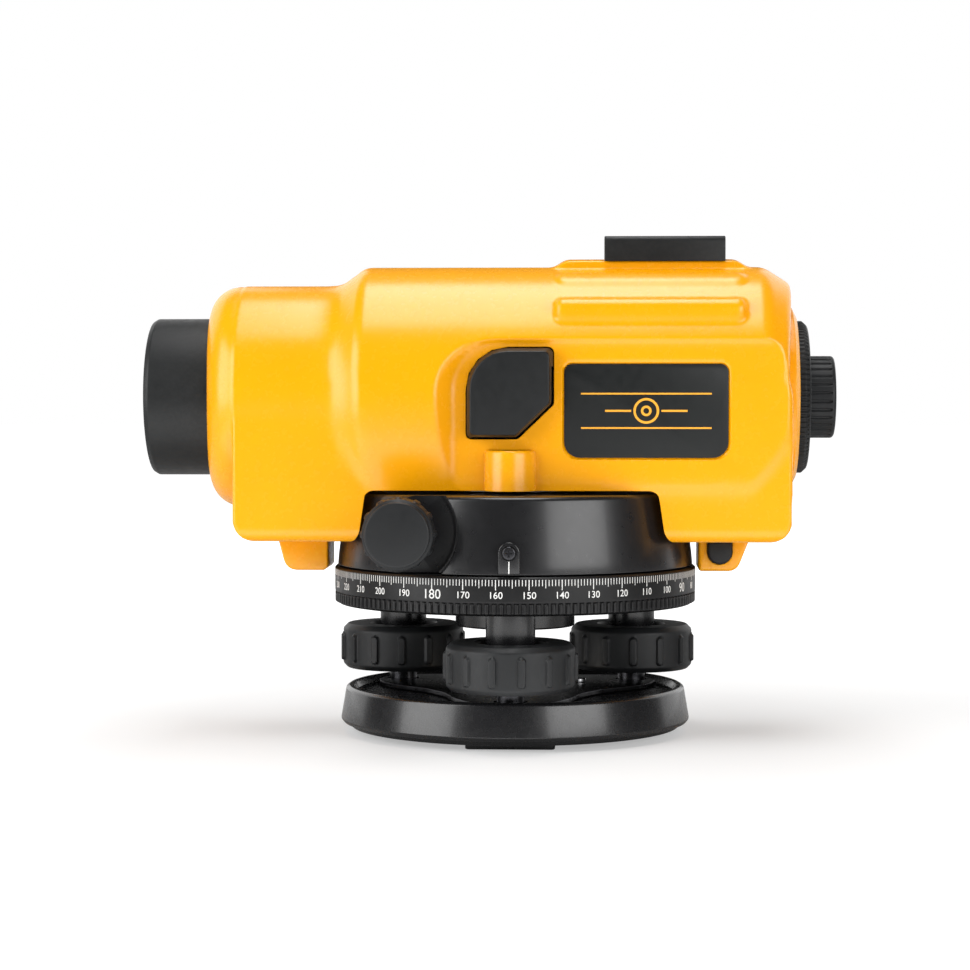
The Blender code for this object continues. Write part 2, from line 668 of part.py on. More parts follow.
def bubble_level():
    """Circular vial in the housing's boss, under a hood whose mirror shows it to the observer."""
    hood = side_plate("bubble_hood", hood_outline(0.0), -39.5, -26.0, "alidade", "black_plastic")
    well = [(-11.6, 88.0), (-11.6, 92.4), (6.6, 110.6), (20.0, 110.6), (20.0, 88.0)]
    cut(hood, side_plate("hood_well", well, -37.4, -28.2))
    mirror = [(-10.6, 91.2), (-9.9, 92.6), (7.4, 109.9), (8.6, 109.9)]
    side_plate("bubble_mirror", mirror, -37.0, -28.6, "alidade", "mirror")
    rod("vial_cup", 6.0, 79.9, 83.0, "alidade", "steel", at=(*VIAL_AT, 0))
    dome = [(0, 85.8), (3.2, 85.6), (5.4, 85.0), (5.8, 84.5), (5.8, 83.3), (0, 83.3)]
    turned("vial_glass", dome, "alidade", "glass", at=(*VIAL_AT, 0), steps=20)


def name_plate():
    x0, x1, z0, z1 = NAME_PLATE
    corners = ((x1, z1, 2.4, 0), (x0, z1, 2.4, 1), (x0, z0, 4.6, 2), (x1, z0, 4.6, 3))
    outline = []
    for x, z, radius, quarter in corners:
        centre = (x - radius if quarter in (0, 3) else x + radius, z - radius if quarter < 2 else z + radius)
        outline += circle_points(radius, 5, centre, quarter * math.pi / 2, math.pi / 2)
    side_plate("name_plate", outline, -PANEL_Y - 0.1, -PANEL_Y + 0.5, "alidade", "black_plastic")


# ---- telescope ----

def telescope_chassis():
    """The casting inside the housing: front tube, compensator box, rear tube and a saddle on the drum."""
    at = (0, 0, SIGHT_Z)
    chassis = rod("telescope_chassis", TUBE_R, -96.0, 26.0, "alidade", "aluminium", at, "X", ROUND)
    join(
        chassis,
        box("compensator_box", (24.0, -16.0, 79.0), (64.0, 16.0, 124.0)),
        rod("rear_tube", 15.5, 62.0, 82.8, at=at, along="X", steps=28),
        rod("saddle", 25.0, 73.6, 78.0, steps=36),
        box("column", (-16.0, -11.0, 77.0), (42.0, 11.0, 86.0)),
    )
    cut(
        chassis,
        rod("front_bore", TUBE_BORE_R, -98.0, 24.2, at=at, along="X", steps=ROUND),
        box("compensator_room", (26.5, -13.5, 81.5), (61.5, 13.5, 130.0)),
        rod("window", 11.0, 23.0, 27.0, at=at, along="X"),
        rod("rear_bore", 12.5, 60.0, 84.0, at=at, along="X"),
        box("rack_slot", (-24.5, 12.0, 89.0), (23.0, 25.0, 103.2)),
    )


def objective():
    profile = [
        (21.6, OBJECTIVE_X), (20.8, OBJECTIVE_X + 1.0), (20.8, -86.0), (BARREL_R, -86.0),
        (BARREL_R, OBJECTIVE_X + 1.6), (22.6, OBJECTIVE_X),
    ]
    at = (0, 0, SIGHT_Z)
    turned("objective_barrel", profile, "alidade", "black_plastic", at=at, along="X", steps=36)
    lens(
        "objective_lens", "alidade", at=at, radius=20.3, front=-103.5, rear=-97.0, front_bulge=2.0,
        rear_bulge=0.4,
    )


def lens(name, body, at, radius, front, rear, front_bulge, rear_bulge, steps=24):
    """A lens between two x values at its rim, each face crowned by its bulge."""
    fall = (1.0, 0.6)
    rear_face = [(radius * s, rear + rear_bulge * (1 - s * s)) for s in reversed(fall)]
    front_face = [(radius * s, front - front_bulge * (1 - s * s)) for s in fall]
    profile = [(0, rear + rear_bulge)] + rear_face + front_face + [(0, front - front_bulge)]
    turned(name, profile, body, "glass", at=at, along="X", steps=steps)


def focusing():
    """Lens cell with its rack, and the pinion shaft with its knob."""
    at = (0, 0, SIGHT_Z)
    cell = tube("focusing_cell", 17.6, 15.0, -24.0, 0.0, "focusing_cell", "brass", at, "X", 24)
    rack = [(-11.8, 101.0), (-11.8, 98.5)]
    for k in range(-4, 4):
        middle = FOCUS_X + (k + 0.5) * RACK_PITCH
        rack += [(middle - 0.55, 98.5), (middle - 0.25, 97.0), (middle + 0.25, 97.0), (middle + 0.55, 98.5)]
    rack += [(11.8, 98.5), (11.8, 101.0)]
    join(cell, side_plate("rack", rack, 16.4, 21.6))
    lens("focusing_lens", "focusing_cell", at, 14.7, -16.0, -10.0, -1.2, -1.6, 24)

    pinion_at = (FOCUS_X, 0, FOCUS_Z)
    shaft = rod("focus_pinion", 2.2, 17.9, 46.0, "focus_knob", "steel", pinion_at, "Y", 16)
    # Its first tooth points straight up, into a gap of the rack.
    teeth = toothed(PINION_TEETH, 2.8, 4.3, 0.26, 0.09, -math.pi / 2)
    pinion = plate("pinion_teeth", [teeth], 3.3, at=(FOCUS_X, 19.9, FOCUS_Z), along="Y")
    join(shaft, pinion)
    knob = [
        (0, 50.4), (14.6, 50.0), (16.0, 48.4), (16.0, 38.0), (14.0, 36.4), (2.5, 36.4), (2.5, 47.0), (0, 47.0),
    ]
    turned("focus_knob", knob, "focus_knob", "black_plastic", pinion_at, "Y", 28)


def compensator():
    """Portal frame, and a pendulum that hangs from it on two tapes and carries the prism."""
    x = COMPENSATOR_X
    portal = box("compensator_frame", (x - 5, -13.0, 82.0), (x + 5, 13.0, 122.0), "alidade", "aluminium")
    cut(portal, box("portal_window", (x - 9, -10.0, 85.0), (x + 9, 10.0, 118.0)))
    bob = box("compensator_pendulum", (x - 4, -9.0, 87.0), (x + 4, 9.0, 112.0), "pendulum", "brass")
    for sign in (-1, 1):
        tape = box(f"tape_{sign}", (x - 0.4, sign * 6.0 - 1.0, 111.5), (x + 0.4, sign * 6.0 + 1.0, 117.6))
        join(bob, tape)
    cut(bob, box("prism_window", (x - 9, -7.0, 92.7), (x + 9, 7.0, 110.3)))
    prism = [(x - 3.8, 93.0), (x + 3.8, 93.0), (x + 3.8, 106.0), (x, 110.0), (x - 3.8, 106.0)]
    side_plate("pendulum_prism", prism, -6.7, 6.7, "pendulum", "glass")


def eyepiece():
    at = (0, 0, SIGHT_Z)
    tube("rear_bezel", BEZEL_R, 12.9, TAIL_X + GAP, 85.2, "alidade", "yellow", at, "X", 36)
    cover = [(21.8, 89.5), (COVER_R, 88.5), (COVER_R, 85.5), (13.0, 85.5), (13.0, 89.5)]
    turned("reticle_cover", cover, "alidade", "black_plastic", at, "X", 36)
    rod("reticle", 12.1, 66.0, 68.0, "alidade", "glass", at, "X")
    tube("eyepiece_barrel", 11.0, 8.2, 70.5, 92.4, "eyepiece_barrel", "aluminium", at, "X", 24)
    lens("eye_lens", "eyepiece_barrel", at, 7.9, 86.0, 90.0, 0.8, 1.0, 20)
    ring = [
        (7.4, EYEPIECE_X), (11.4, EYEPIECE_X), (EYEPIECE_R, EYEPIECE_X - 1.0), (EYEPIECE_R, 86.9),
        (11.4, 86.9), (11.4, 93.0), (6.2, 93.0),
    ]
    turned("eyepiece_ring", ring, "eyepiece_ring", "black_plastic", at, "X", 24)


def frames():
    """An empty for each body, on the axis of its joint."""
    places = foot_screw_places()
    rear_y = places["rear_left"][1]
    frame("base", (0, 0, 0))
    frame("rear_feet", (0, rear_y, BALL_Z), "base")
    frame("tribrach", (0, 0, BALL_Z), "rear_feet")
    for side, place in places.items():
        frame(f"{side}_spindle", (*place, BALL_Z), "tribrach")
        frame(f"{side}_knob", (*place, BALL_Z), f"{side}_spindle")
    frame("circle", (0, 0, CIRCLE_LOW_Z), "tribrach")
    frame("worm_wheel", (0, 0, WORM_Z), "tribrach")
    frame("alidade", (0, 0, WORM_Z), "worm_wheel")
    frame("tangent_drive", (WORM_X, 0, WORM_Z), "alidade")
    frame("focus_knob", (FOCUS_X, 0, FOCUS_Z), "alidade")
    frame("focusing_cell", (0, 0, SIGHT_Z), "alidade")
    frame("pendulum", (COMPENSATOR_X, 0, 117.8), "alidade")
    frame("eyepiece_barrel", (0, 0, SIGHT_Z), "alidade")
    frame("eyepiece_ring", (0, 0, SIGHT_Z), "eyepiece_barrel")
    frame("check_button", BUTTON_AT, "alidade")


def main():
    frames()
    base_plate()
    tripod_bush()
    spring_plate()
    for side, place in foot_screw_places().items():
        foot_screw(side, place, "base" if side == "front" else "rear_feet")
    tribrach()
    horizontal_circle()
    worm_wheel()
    drum_housing()
    tangent_drive()
    index_mark()
    housing()
    foot_blocks()
    open_sight()
    bubble_level()
    name_plate()
    telescope_chassis()
    objective()
    focusing()
    compensator()
    eyepiece()


main()
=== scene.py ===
import math

import bmesh
import bpy
import numpy as np
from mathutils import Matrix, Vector


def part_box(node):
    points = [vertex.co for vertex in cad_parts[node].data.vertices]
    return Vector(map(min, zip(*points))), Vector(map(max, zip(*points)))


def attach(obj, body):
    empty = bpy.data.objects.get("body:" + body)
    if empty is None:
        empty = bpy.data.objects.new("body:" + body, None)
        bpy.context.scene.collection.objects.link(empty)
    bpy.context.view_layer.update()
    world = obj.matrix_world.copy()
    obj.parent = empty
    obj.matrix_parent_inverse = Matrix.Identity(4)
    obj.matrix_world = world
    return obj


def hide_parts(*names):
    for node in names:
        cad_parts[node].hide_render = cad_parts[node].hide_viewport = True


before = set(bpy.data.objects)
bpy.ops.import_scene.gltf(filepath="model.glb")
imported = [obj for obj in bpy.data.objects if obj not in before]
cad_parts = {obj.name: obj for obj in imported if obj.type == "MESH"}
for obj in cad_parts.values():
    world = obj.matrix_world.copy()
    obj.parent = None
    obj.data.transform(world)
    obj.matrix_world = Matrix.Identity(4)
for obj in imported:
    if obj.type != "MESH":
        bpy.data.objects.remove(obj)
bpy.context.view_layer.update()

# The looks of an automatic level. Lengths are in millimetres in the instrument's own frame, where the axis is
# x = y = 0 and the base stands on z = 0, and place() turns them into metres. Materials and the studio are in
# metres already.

TAU = 2 * math.pi


# ---- places, read from the frame ----

def centre(node):
    low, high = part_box(node)
    return (low + high) / 2 * 1000


def span(node, axis):
    """From and to, in the instrument's frame, of a CAD node along x, y or z (0, 1 or 2)."""
    low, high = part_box(node)
    shift = AXIS_X if axis == 0 else 0.0
    return low[axis] * 1000 - shift, high[axis] * 1000 - shift


AXIS_X = centre("vertical_axis").x
SIGHT_Z = centre("objective_barrel").z
WORM_X = centre("worm_shaft").x - AXIS_X
WORM_Z = centre("worm_shaft").z
FOCUS = (centre("focus_knob").x - AXIS_X, centre("focus_knob").z)
BUTTON = (centre("check_button").x - AXIS_X, centre("check_button").z)
TAIL_X = span("housing_left", 0)[1]
LEG_Z = span("housing_left", 2)[0]
ROOM_Z = span("drum_housing", 2)[1] + 1.1
FOOT_R = -centre("front_foot_knob").y
FEET = {"front": -90, "rear_right": 30, "rear_left": 150}


def foot_place(side):
    angle = math.radians(FEET[side])
    return FOOT_R * math.cos(angle), FOOT_R * math.sin(angle)


# ---- materials ----

def nodes_of(name):
    material = bpy.data.materials.new(name)
    material.use_nodes = True
    tree = material.node_tree
    return material, tree, tree.nodes["Principled BSDF"]


def wire(tree, source, target):
    tree.links.new(source, target)


def noise(tree, scale, detail=3.0, stretch=None):
    """Noise over the piece, with its scale in features a metre."""
    coords = tree.nodes.new("ShaderNodeTexCoord")
    made = tree.nodes.new("ShaderNodeTexNoise")
    made.inputs["Scale"].default_value = scale
    made.inputs["Detail"].default_value = detail
    made.inputs["Roughness"].default_value = 0.55
    if stretch:
        mapping = tree.nodes.new("ShaderNodeMapping")
        mapping.inputs["Scale"].default_value = stretch
        wire(tree, coords.outputs["Object"], mapping.inputs["Vector"])
        wire(tree, mapping.outputs["Vector"], made.inputs["Vector"])
    else:
        wire(tree, coords.outputs["Object"], made.inputs["Vector"])
    return made.outputs["Fac"]


def ranged(tree, value, low, high, from_low=0.3, from_high=0.7):
    made = tree.nodes.new("ShaderNodeMapRange")
    made.inputs["From Min"].default_value = from_low
    made.inputs["From Max"].default_value = from_high
    made.inputs["To Min"].default_value = low
    made.inputs["To Max"].default_value = high
    wire(tree, value, made.inputs["Value"])
    return made.outputs["Result"]


def mixed(tree, factor, first, second):
    made = tree.nodes.new("ShaderNodeMix")
    made.data_type = "RGBA"
    for socket, value in (("A", first), ("B", second)):
        inputs = [s for s in made.inputs if s.name == socket and s.type == "RGBA"][0]
        if hasattr(value, "is_output"):
            wire(tree, value, inputs)
        else:
            inputs.default_value = (*value, 1.0)
    wire(tree, factor, [s for s in made.inputs if s.name == "Factor" and s.type == "VALUE"][0])
    return [s for s in made.outputs if s.type == "RGBA"][0]


PATCHES = 60.0               # how many patches of lighter and darker colour there are in a metre


def finish(name, colour, roughness, grain, depth, metallic=0.0, edge=0.0, wear=0.0, coat=0.0, shade=0.12,
           stretch=None, specular=0.5):
    """A procedural finish. Grain is its features a metre and depth their height in metres. Edge rounds the
    normals at edges, in metres. Wear is how far edges go towards a lighter colour, and shade how much darker
    the dark patches are."""
    material, tree, shader = nodes_of(name)
    shader.inputs["Metallic"].default_value = metallic
    shader.inputs["Coat Weight"].default_value = coat
    shader.inputs["Coat Roughness"].default_value = 0.12
    shader.inputs["Specular IOR Level"].default_value = specular
    dark = tuple(c * (1 - shade) for c in colour)
    base = mixed(tree, ranged(tree, noise(tree, PATCHES), 0.0, 1.0), dark, colour)
    if wear:
        geometry = tree.nodes.new("ShaderNodeNewGeometry")
        rubbed = ranged(tree, geometry.outputs["Pointiness"], 0.0, wear, 0.52, 0.6)
        broken = tree.nodes.new("ShaderNodeMath")
        broken.operation = "MULTIPLY"
        wire(tree, rubbed, broken.inputs[0])
        wire(tree, ranged(tree, noise(tree, 900.0), 0.0, 1.0, 0.4, 0.65), broken.inputs[1])
        light = tuple(min(1.0, c * 1.6 + 0.05) for c in colour)
        base = mixed(tree, broken.outputs["Value"], base, light)
    wire(tree, base, shader.inputs["Base Color"])
    low, high = roughness
    wire(tree, ranged(tree, noise(tree, PATCHES * 7, 4.0), low, high), shader.inputs["Roughness"])
    bump = tree.nodes.new("ShaderNodeBump")
    bump.inputs["Distance"].default_value = depth
    bump.inputs["Strength"].default_value = 1.0
    wire(tree, noise(tree, grain, 2.0, stretch=stretch), bump.inputs["Height"])
    if edge:
        round_edges = tree.nodes.new("ShaderNodeBevel")
        round_edges.samples = 4
        round_edges.inputs["Radius"].default_value = edge
        wire(tree, round_edges.outputs["Normal"], bump.inputs["Normal"])
    wire(tree, bump.outputs["Normal"], shader.inputs["Normal"])
    return material


def glass(name, tint, film):
    """Clear optical glass with a coloured anti-reflection film."""
    material, tree, shader = nodes_of(name)
    shader.inputs["Transmission Weight"].default_value = 1.0
    shader.inputs["IOR"].default_value = 1.5
    dust = ranged(tree, noise(tree, 2500.0), 0.01, 0.05)
    wire(tree, dust, shader.inputs["Roughness"])
    shader.inputs["Specular Tint"].default_value = (*film, 1.0)
    smear = ranged(tree, noise(tree, 90.0), 0.0, 1.0)
    wire(tree, mixed(tree, smear, tint, tuple(c * 0.92 for c in tint)), shader.inputs["Base Color"])
    return material


def make_finishes():
    metal = {"metallic": 1.0, "grain": 900.0, "depth": 4e-6, "stretch": (1, 1, 14), "edge": 1e-4}
    return {
        "yellow": finish("yellow_enamel", (0.97, 0.4, 0.0), (0.24, 0.29), 1500.0, 2e-6,
                         edge=3e-4, wear=0.15, shade=0.03),
        "black": finish("black_enamel", (0.008, 0.008, 0.009), (0.25, 0.29), 2200.0, 7e-7,
                        edge=2e-4, wear=0.1, coat=0.2, shade=0.2),
        "drum": finish("drum_enamel", (0.009, 0.009, 0.01), (0.27, 0.31), 2400.0, 7e-7,
                       coat=0.15, shade=0.2),
        "rubber": finish("black_knob", (0.011, 0.012, 0.013), (0.45, 0.55), 5200.0, 1.2e-5,
                         edge=2e-4, wear=0.14, shade=0.3, specular=0.35),
        "matt": finish("matt_black", (0.0115, 0.0125, 0.013), (0.4, 0.5), 6000.0, 1.0e-5,
                       edge=2e-4, wear=0.1, shade=0.25, specular=0.32),
        "plate": finish("plate_black", (0.0095, 0.011, 0.011), (0.38, 0.48), 4200.0, 5e-6,
                        edge=1e-4, shade=0.25, specular=0.32),
        "circle": finish("circle_black", (0.007, 0.007, 0.0075), (0.34, 0.44), 3000.0, 6e-6,
                         edge=1.5e-4, wear=0.12, shade=0.3, specular=0.3),
        "white": finish("white_print", (0.78, 0.78, 0.76), (0.5, 0.6), 4000.0, 4e-6),
        "amber": finish("plate_print", (0.93, 0.42, 0.03), (0.42, 0.5), 4000.0, 4e-6, shade=0.08),
        "steel": finish("turned_steel", (0.42, 0.42, 0.43), (0.22, 0.36), **metal),
        "dark_steel": finish("blackened_steel", (0.06, 0.06, 0.065), (0.25, 0.36), **metal),
        "brass": finish("turned_brass", (0.62, 0.43, 0.16), (0.25, 0.38), **metal),
        "aluminium": finish("cast_aluminium", (0.34, 0.35, 0.36), (0.4, 0.55), 1400.0, 2e-5,
                            metallic=1.0, edge=2e-4, shade=0.2),
        "glass": glass("coated_glass", (0.93, 0.98, 0.95), (0.55, 0.9, 0.65)),
        "liquid": glass("vial_glass", (0.8, 0.98, 0.5), (0.9, 1.0, 0.9)),
        "mirror": finish("mirror_face", (0.85, 0.87, 0.88), (0.03, 0.06), 3000.0, 1e-6, metallic=1.0),
    }


FINISH = make_finishes()


# ---- pieces ----

SHARP = 32.0                 # edges that turn by more than this are shaded as edges, in degrees
HOUSING_SHARP = 50.0


def place(points, along="Z", at=(0, 0, 0)):
    """Local points, with their length along local z, as world metres."""
    p = np.asarray(points, float).reshape(-1, 3)
    turned = {"Z": p, "X": p[:, [2, 1, 0]] * (1, 1, -1), "Y": p[:, [0, 2, 1]] * (1, 1, -1)}[along]
    return (turned + np.asarray(at, float) + (AXIS_X, 0, 0)) * 0.001


def linked(name, data):
    """A new object in the scene."""
    obj = bpy.data.objects.new(name, data)
    bpy.context.scene.collection.objects.link(obj)
    return obj


def smooth(obj, sharp=SHARP):
    obj.data.shade_smooth()
    obj.data.set_sharp_from_angle(angle=math.radians(sharp))


def dressed(name, mesh, look, sharp=SHARP):
    """The mesh as an object with its finish."""
    if look:
        mesh.materials.append(FINISH[look])
    obj = linked(name, mesh)
    smooth(obj, sharp)
    return obj


def discard(obj):
    mesh = obj.data
    bpy.data.objects.remove(obj)
    bpy.data.meshes.remove(mesh)


def solid(name, points, faces, look, along="Z", at=(0, 0, 0), sharp=SHARP):
    """A closed mesh, welded, with its faces out."""
    mesh = bpy.data.meshes.new(name)
    mesh.from_pydata(place(points, along, at).tolist(), [], faces)
    shape = bmesh.new()
    shape.from_mesh(mesh)
    bmesh.ops.remove_doubles(shape, verts=shape.verts, dist=2e-7)
    bmesh.ops.dissolve_degenerate(shape, edges=shape.edges, dist=1e-8)
    bmesh.ops.recalc_face_normals(shape, faces=shape.faces)
    shape.to_mesh(mesh)
    shape.free()
    return dressed(name, mesh, look, sharp)


def part(obj, body, *nodes, slot=None):
    """The piece moves with its body and stands for those CAD nodes."""
    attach(obj, body)
    if nodes:
        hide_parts(*nodes)
    return obj


def rounded(corners, arc=4):
    """A closed outline with its corners filleted. A corner is (a, b) or (a, b, radius)."""
    count, out = len(corners), []
    for i, corner in enumerate(corners):
        point = Vector(corner[:2])
        radius = corner[2] if len(corner) > 2 else 0.0
        before, after = Vector(corners[i - 1][:2]), Vector(corners[(i + 1) % count][:2])
        to_before, to_after = before - point, after - point
        turn = to_before.angle(to_after, 0.0) if to_before.length and to_after.length else math.pi
        if radius <= 0 or turn > math.pi - 0.02:
            out.append(tuple(point))
            continue
        reach = min(radius / math.tan(turn / 2), 0.48 * to_before.length, 0.48 * to_after.length)
        radius = reach * math.tan(turn / 2)
        one, two = point + to_before.normalized() * reach, point + to_after.normalized() * reach
        inward = (to_before.normalized() + to_after.normalized()).normalized()
        middle = point + inward * radius / math.sin(turn / 2)
        start, sweep = one - middle, (one - middle).angle_signed(two - middle)
        for k in range(arc + 1):
            angle = -sweep * k / arc
            c, s = math.cos(angle), math.sin(angle)
            out.append((middle.x + start.x * c - start.y * s, middle.y + start.x * s + start.y * c))
    return out


def rectangle(low_a, low_b, high_a, high_b):
    return [(low_a, low_b), (high_a, low_b), (high_a, high_b), (low_a, high_b)]


def dense(outline, step, within=lambda a, b: True):
    """The outline with its long edges split, where within() holds at their middle."""
    out = []
    for i, (a, b) in enumerate(outline):
        c, d = outline[(i + 1) % len(outline)]
        parts = max(1, math.ceil(math.hypot(c - a, d - b) / step)) if within((a + c) / 2, (b + d) / 2) else 1
        out += [(a + (c - a) * k / parts, b + (d - b) * k / parts) for k in range(parts)]
    return out


def turned(name, profile, look, along="Z", at=(0, 0, 0), steps=128, relief=None):
    """A closed outline of (radius, height) turned about its axis. relief(angle, radius, height) adds to the
    radius. Along X and Y the height is x and y."""
    outline = np.array(profile, float)
    angles = np.arange(steps) * TAU / steps
    radius, height = outline[:, :1], outline[:, 1:]
    full = radius + (relief(angles[None, :], radius, height) if relief else np.zeros((1, steps)))
    points = np.stack([full * np.cos(angles), full * np.sin(angles), height + 0 * full], axis=-1)
    count = len(outline)
    faces = []
    for i in range(count):
        k = (i + 1) % count
        if outline[i, 0] < 1e-9 and outline[k, 0] < 1e-9:
            continue
        for j in range(steps):
            n = (j + 1) % steps
            faces.append((i * steps + j, i * steps + n, k * steps + n, k * steps + j))
    return solid(name, points.reshape(-1, 3), faces, look, along, at)


def ribs(count, radius, half_width, middle, half_length, rise, phase=0.0, soft=0.35, over=0.5):
    """Relief of stadium-shaped ribs round a wall of that radius."""
    def relief(angle, r, h):
        share = (angle - phase) * count / TAU
        aside = (share - np.round(share)) * TAU * radius / count
        beyond = np.maximum(np.abs(h - middle) - (half_length - half_width), 0.0)
        inside = np.clip(0.5 - (np.hypot(aside, beyond) - half_width) / soft, 0.0, 1.0)
        return rise * inside * inside * (3 - 2 * inside) * (r > radius - over)
    return relief


def slab(name, outline, low, high, look, along="Y", front=0.0, back=0.0, segments=3):
    """An outline in the plane across an axis, as a plate from low to high along it, with its edges rounded by
    front at its low end and back at its high end. The outline is (x, z) along Y, (y, z) along X, (x, y) along
    Z."""
    order = {"Y": (0, 2, 1), "X": (2, 0, 1), "Z": (0, 1, 2)}[along]
    points = np.array([(a, b, level) for level in (low, high) for a, b in outline], float)[:, order]
    shape = bmesh.new()
    corners = [shape.verts.new(point) for point in place(points).tolist()]
    count = len(outline)
    caps = [shape.faces.new(corners[:count]), shape.faces.new(corners[count:][::-1])]
    for i in range(count):
        k = (i + 1) % count
        shape.faces.new((corners[i], corners[count + i], corners[count + k], corners[k]))
    bmesh.ops.recalc_face_normals(shape, faces=shape.faces)
    for cap, width in zip(caps, (front, back)):
        if width:
            bmesh.ops.bevel(shape, geom=list(cap.edges), offset=width * 0.001, segments=segments, profile=0.5,
                            affect="EDGES", clamp_overlap=True)
    mesh = bpy.data.meshes.new(name)
    shape.to_mesh(mesh)
    shape.free()
    return dressed(name, mesh, look)


def bands(rings, count):
    """The faces between closed rings of count points each, one after another."""
    return [(i * count + j, i * count + k, (i + 1) * count + k, (i + 1) * count + j)
            for i in range(rings - 1) for j in range(count) for k in [(j + 1) % count]]


def stack(name, rings, look, sharp=SHARP):
    """A closed shape through outlines (x, z) with the same count of points, each at its own y."""
    count = len(rings[0][0])
    points = [(a, y, b) for outline, y in rings for a, b in outline]
    caps = [tuple(range(count)), tuple(range(len(points) - count, len(points)))]
    return solid(name, points, caps + bands(len(rings), count), look, sharp=sharp)


def block(name, low, high):
    """A plain box to cut with."""
    return slab(name, rounded(rectangle(*low[:2], *high[:2])), low[2], high[2], None, "Z")


def settle(obj, sharp):
    """Applies the object's modifiers."""
    bpy.context.view_layer.update()
    mesh = bpy.data.meshes.new_from_object(obj.evaluated_get(bpy.context.evaluated_depsgraph_get()))
    old = obj.data
    obj.modifiers.clear()
    obj.data = mesh
    bpy.data.meshes.remove(old)
    smooth(obj, sharp)


def combine(obj, others, operation="DIFFERENCE", sharp=SHARP):
    """Cuts the others from the object, or joins them to it, and removes them."""
    group = bpy.data.collections.new(obj.name + "_tools")
    bpy.context.scene.collection.children.link(group)
    for other in others:
        bpy.context.scene.collection.objects.unlink(other)
        group.objects.link(other)
    step = obj.modifiers.new("combine", "BOOLEAN")
    step.operand_type = "COLLECTION"
    step.collection = group
    step.operation = operation
    step.solver = "EXACT"
    settle(obj, sharp)
    if not obj.data.polygons:
        raise RuntimeError(f"{obj.name} is empty after its {operation.lower()}")
    for other in others:
        discard(other)
    bpy.data.collections.remove(group)


def drill(radius, low, high, along, at, steps=64, edge=0.0):
    """A cylinder to cut with, its top and bottom edges rounded off by edge."""
    corners = [(0, low), (radius, low, edge), (radius, high, edge), (0, high)]
    return turned("drill", rounded(corners), None, along, at, steps)


def joined(name, objects, look):
    """The objects as one, without a Boolean, because they don't meet."""
    shape = bmesh.new()
    for obj in objects:
        shape.from_mesh(obj.data)
    mesh = bpy.data.meshes.new(name)
    shape.to_mesh(mesh)
    shape.free()
    for obj in objects:
        discard(obj)
    return dressed(name, mesh, look)


# ---- housing ----

WALL = 2.5
SEAM = 0.07                  # half the gap between the two halves
FRONT_R = 33.5
FRONT_X = -82.2              # where the nose meets the front section and the skirt's edge
NOSE_FACE_X = -92.4
NOSE_SWEEP = 1 / 400         # how the nose's face curves back to each side, and the tail's
TAIL_SWEEP = 1 / 500
MAIN_R = 39.3
FOOT_ARC = (-52.9, -27.2, 21.0)          # the main section's foot on the flank: front end, lower end, corner
SHOULDER = (-45.3, 0.795)    # rear end of the cone between the two sections, and its slope
TAIL_CONE = (75.0, -0.64)
LOWER_SQUASH = 0.7725        # the main section's lower half is an ellipse, taller than it is wide
PANEL_Y = 34.2
PANEL_FROM_X = -22.0
PANEL_TO_X = 79.6
PANEL_TOP = 17.3
LEG_REAR_X = 82.0
ROOF_PAD = (11.7, 70.4, 8.2, 2.4)        # from and to x, half width, rise
ROOF_BEAD = (12.2, 69.6, 26.5, 7.0, 0.9)  # from and to x, middle and half span in degrees, rise
ROOF_LEDGE = (12.6, 68.4, 33.4, 29.1)    # from and to x, outer face, top
BARREL_BORE, TAIL_BORE, AXIS_BORE, FOCUS_BORE = 24.2, 16.4, 26.0, 5.0
BOSS_R, BOSS_TOP, VIAL_WELL = 7.6, 86.2, 6.3


def soft_min(a, b, k):
    h = np.clip(0.5 + 0.5 * (b - a) / k, 0.0, 1.0)
    return b * (1 - h) + a * h - k * h * (1 - h)


def soft_max(a, b, k):
    return -soft_min(-a, -b, k)


def thick(flat, depth, e):
    """Two distances that meet at a right angle, with the edge between them rounded by e."""
    a, b = flat + e, depth + e
    return np.hypot(np.maximum(a, 0), np.maximum(b, 0)) + np.minimum(np.maximum(a, b), 0) - e


def rounded_box(u, v, low_u, high_u, low_v, high_v, e):
    """Distance to a rectangle whose corners have radius e."""
    return thick(np.abs(u - (low_u + high_u) / 2) - (high_u - low_u) / 2,
                 np.abs(v - (low_v + high_v) / 2) - (high_v - low_v) / 2, e)


def cone(x, r, start, slope):
    """Distance to a cone that passes the main radius at start."""
    return ((r - MAIN_R) - slope * (x - start)) / math.hypot(1.0, slope)


def panel_cut(x, y, w):
    """The room cut from the round body in front of the flat panel: round at its upper front corner."""
    flat = rounded_box(x, w, PANEL_FROM_X, 300.0, -300.0, PANEL_TOP + 3.7, 18.2)
    wall = (MAIN_R + flat - np.abs(y)) / math.sqrt(2.0)
    return soft_max(np.maximum(flat, wall), PANEL_Y - np.abs(y), 1.2)


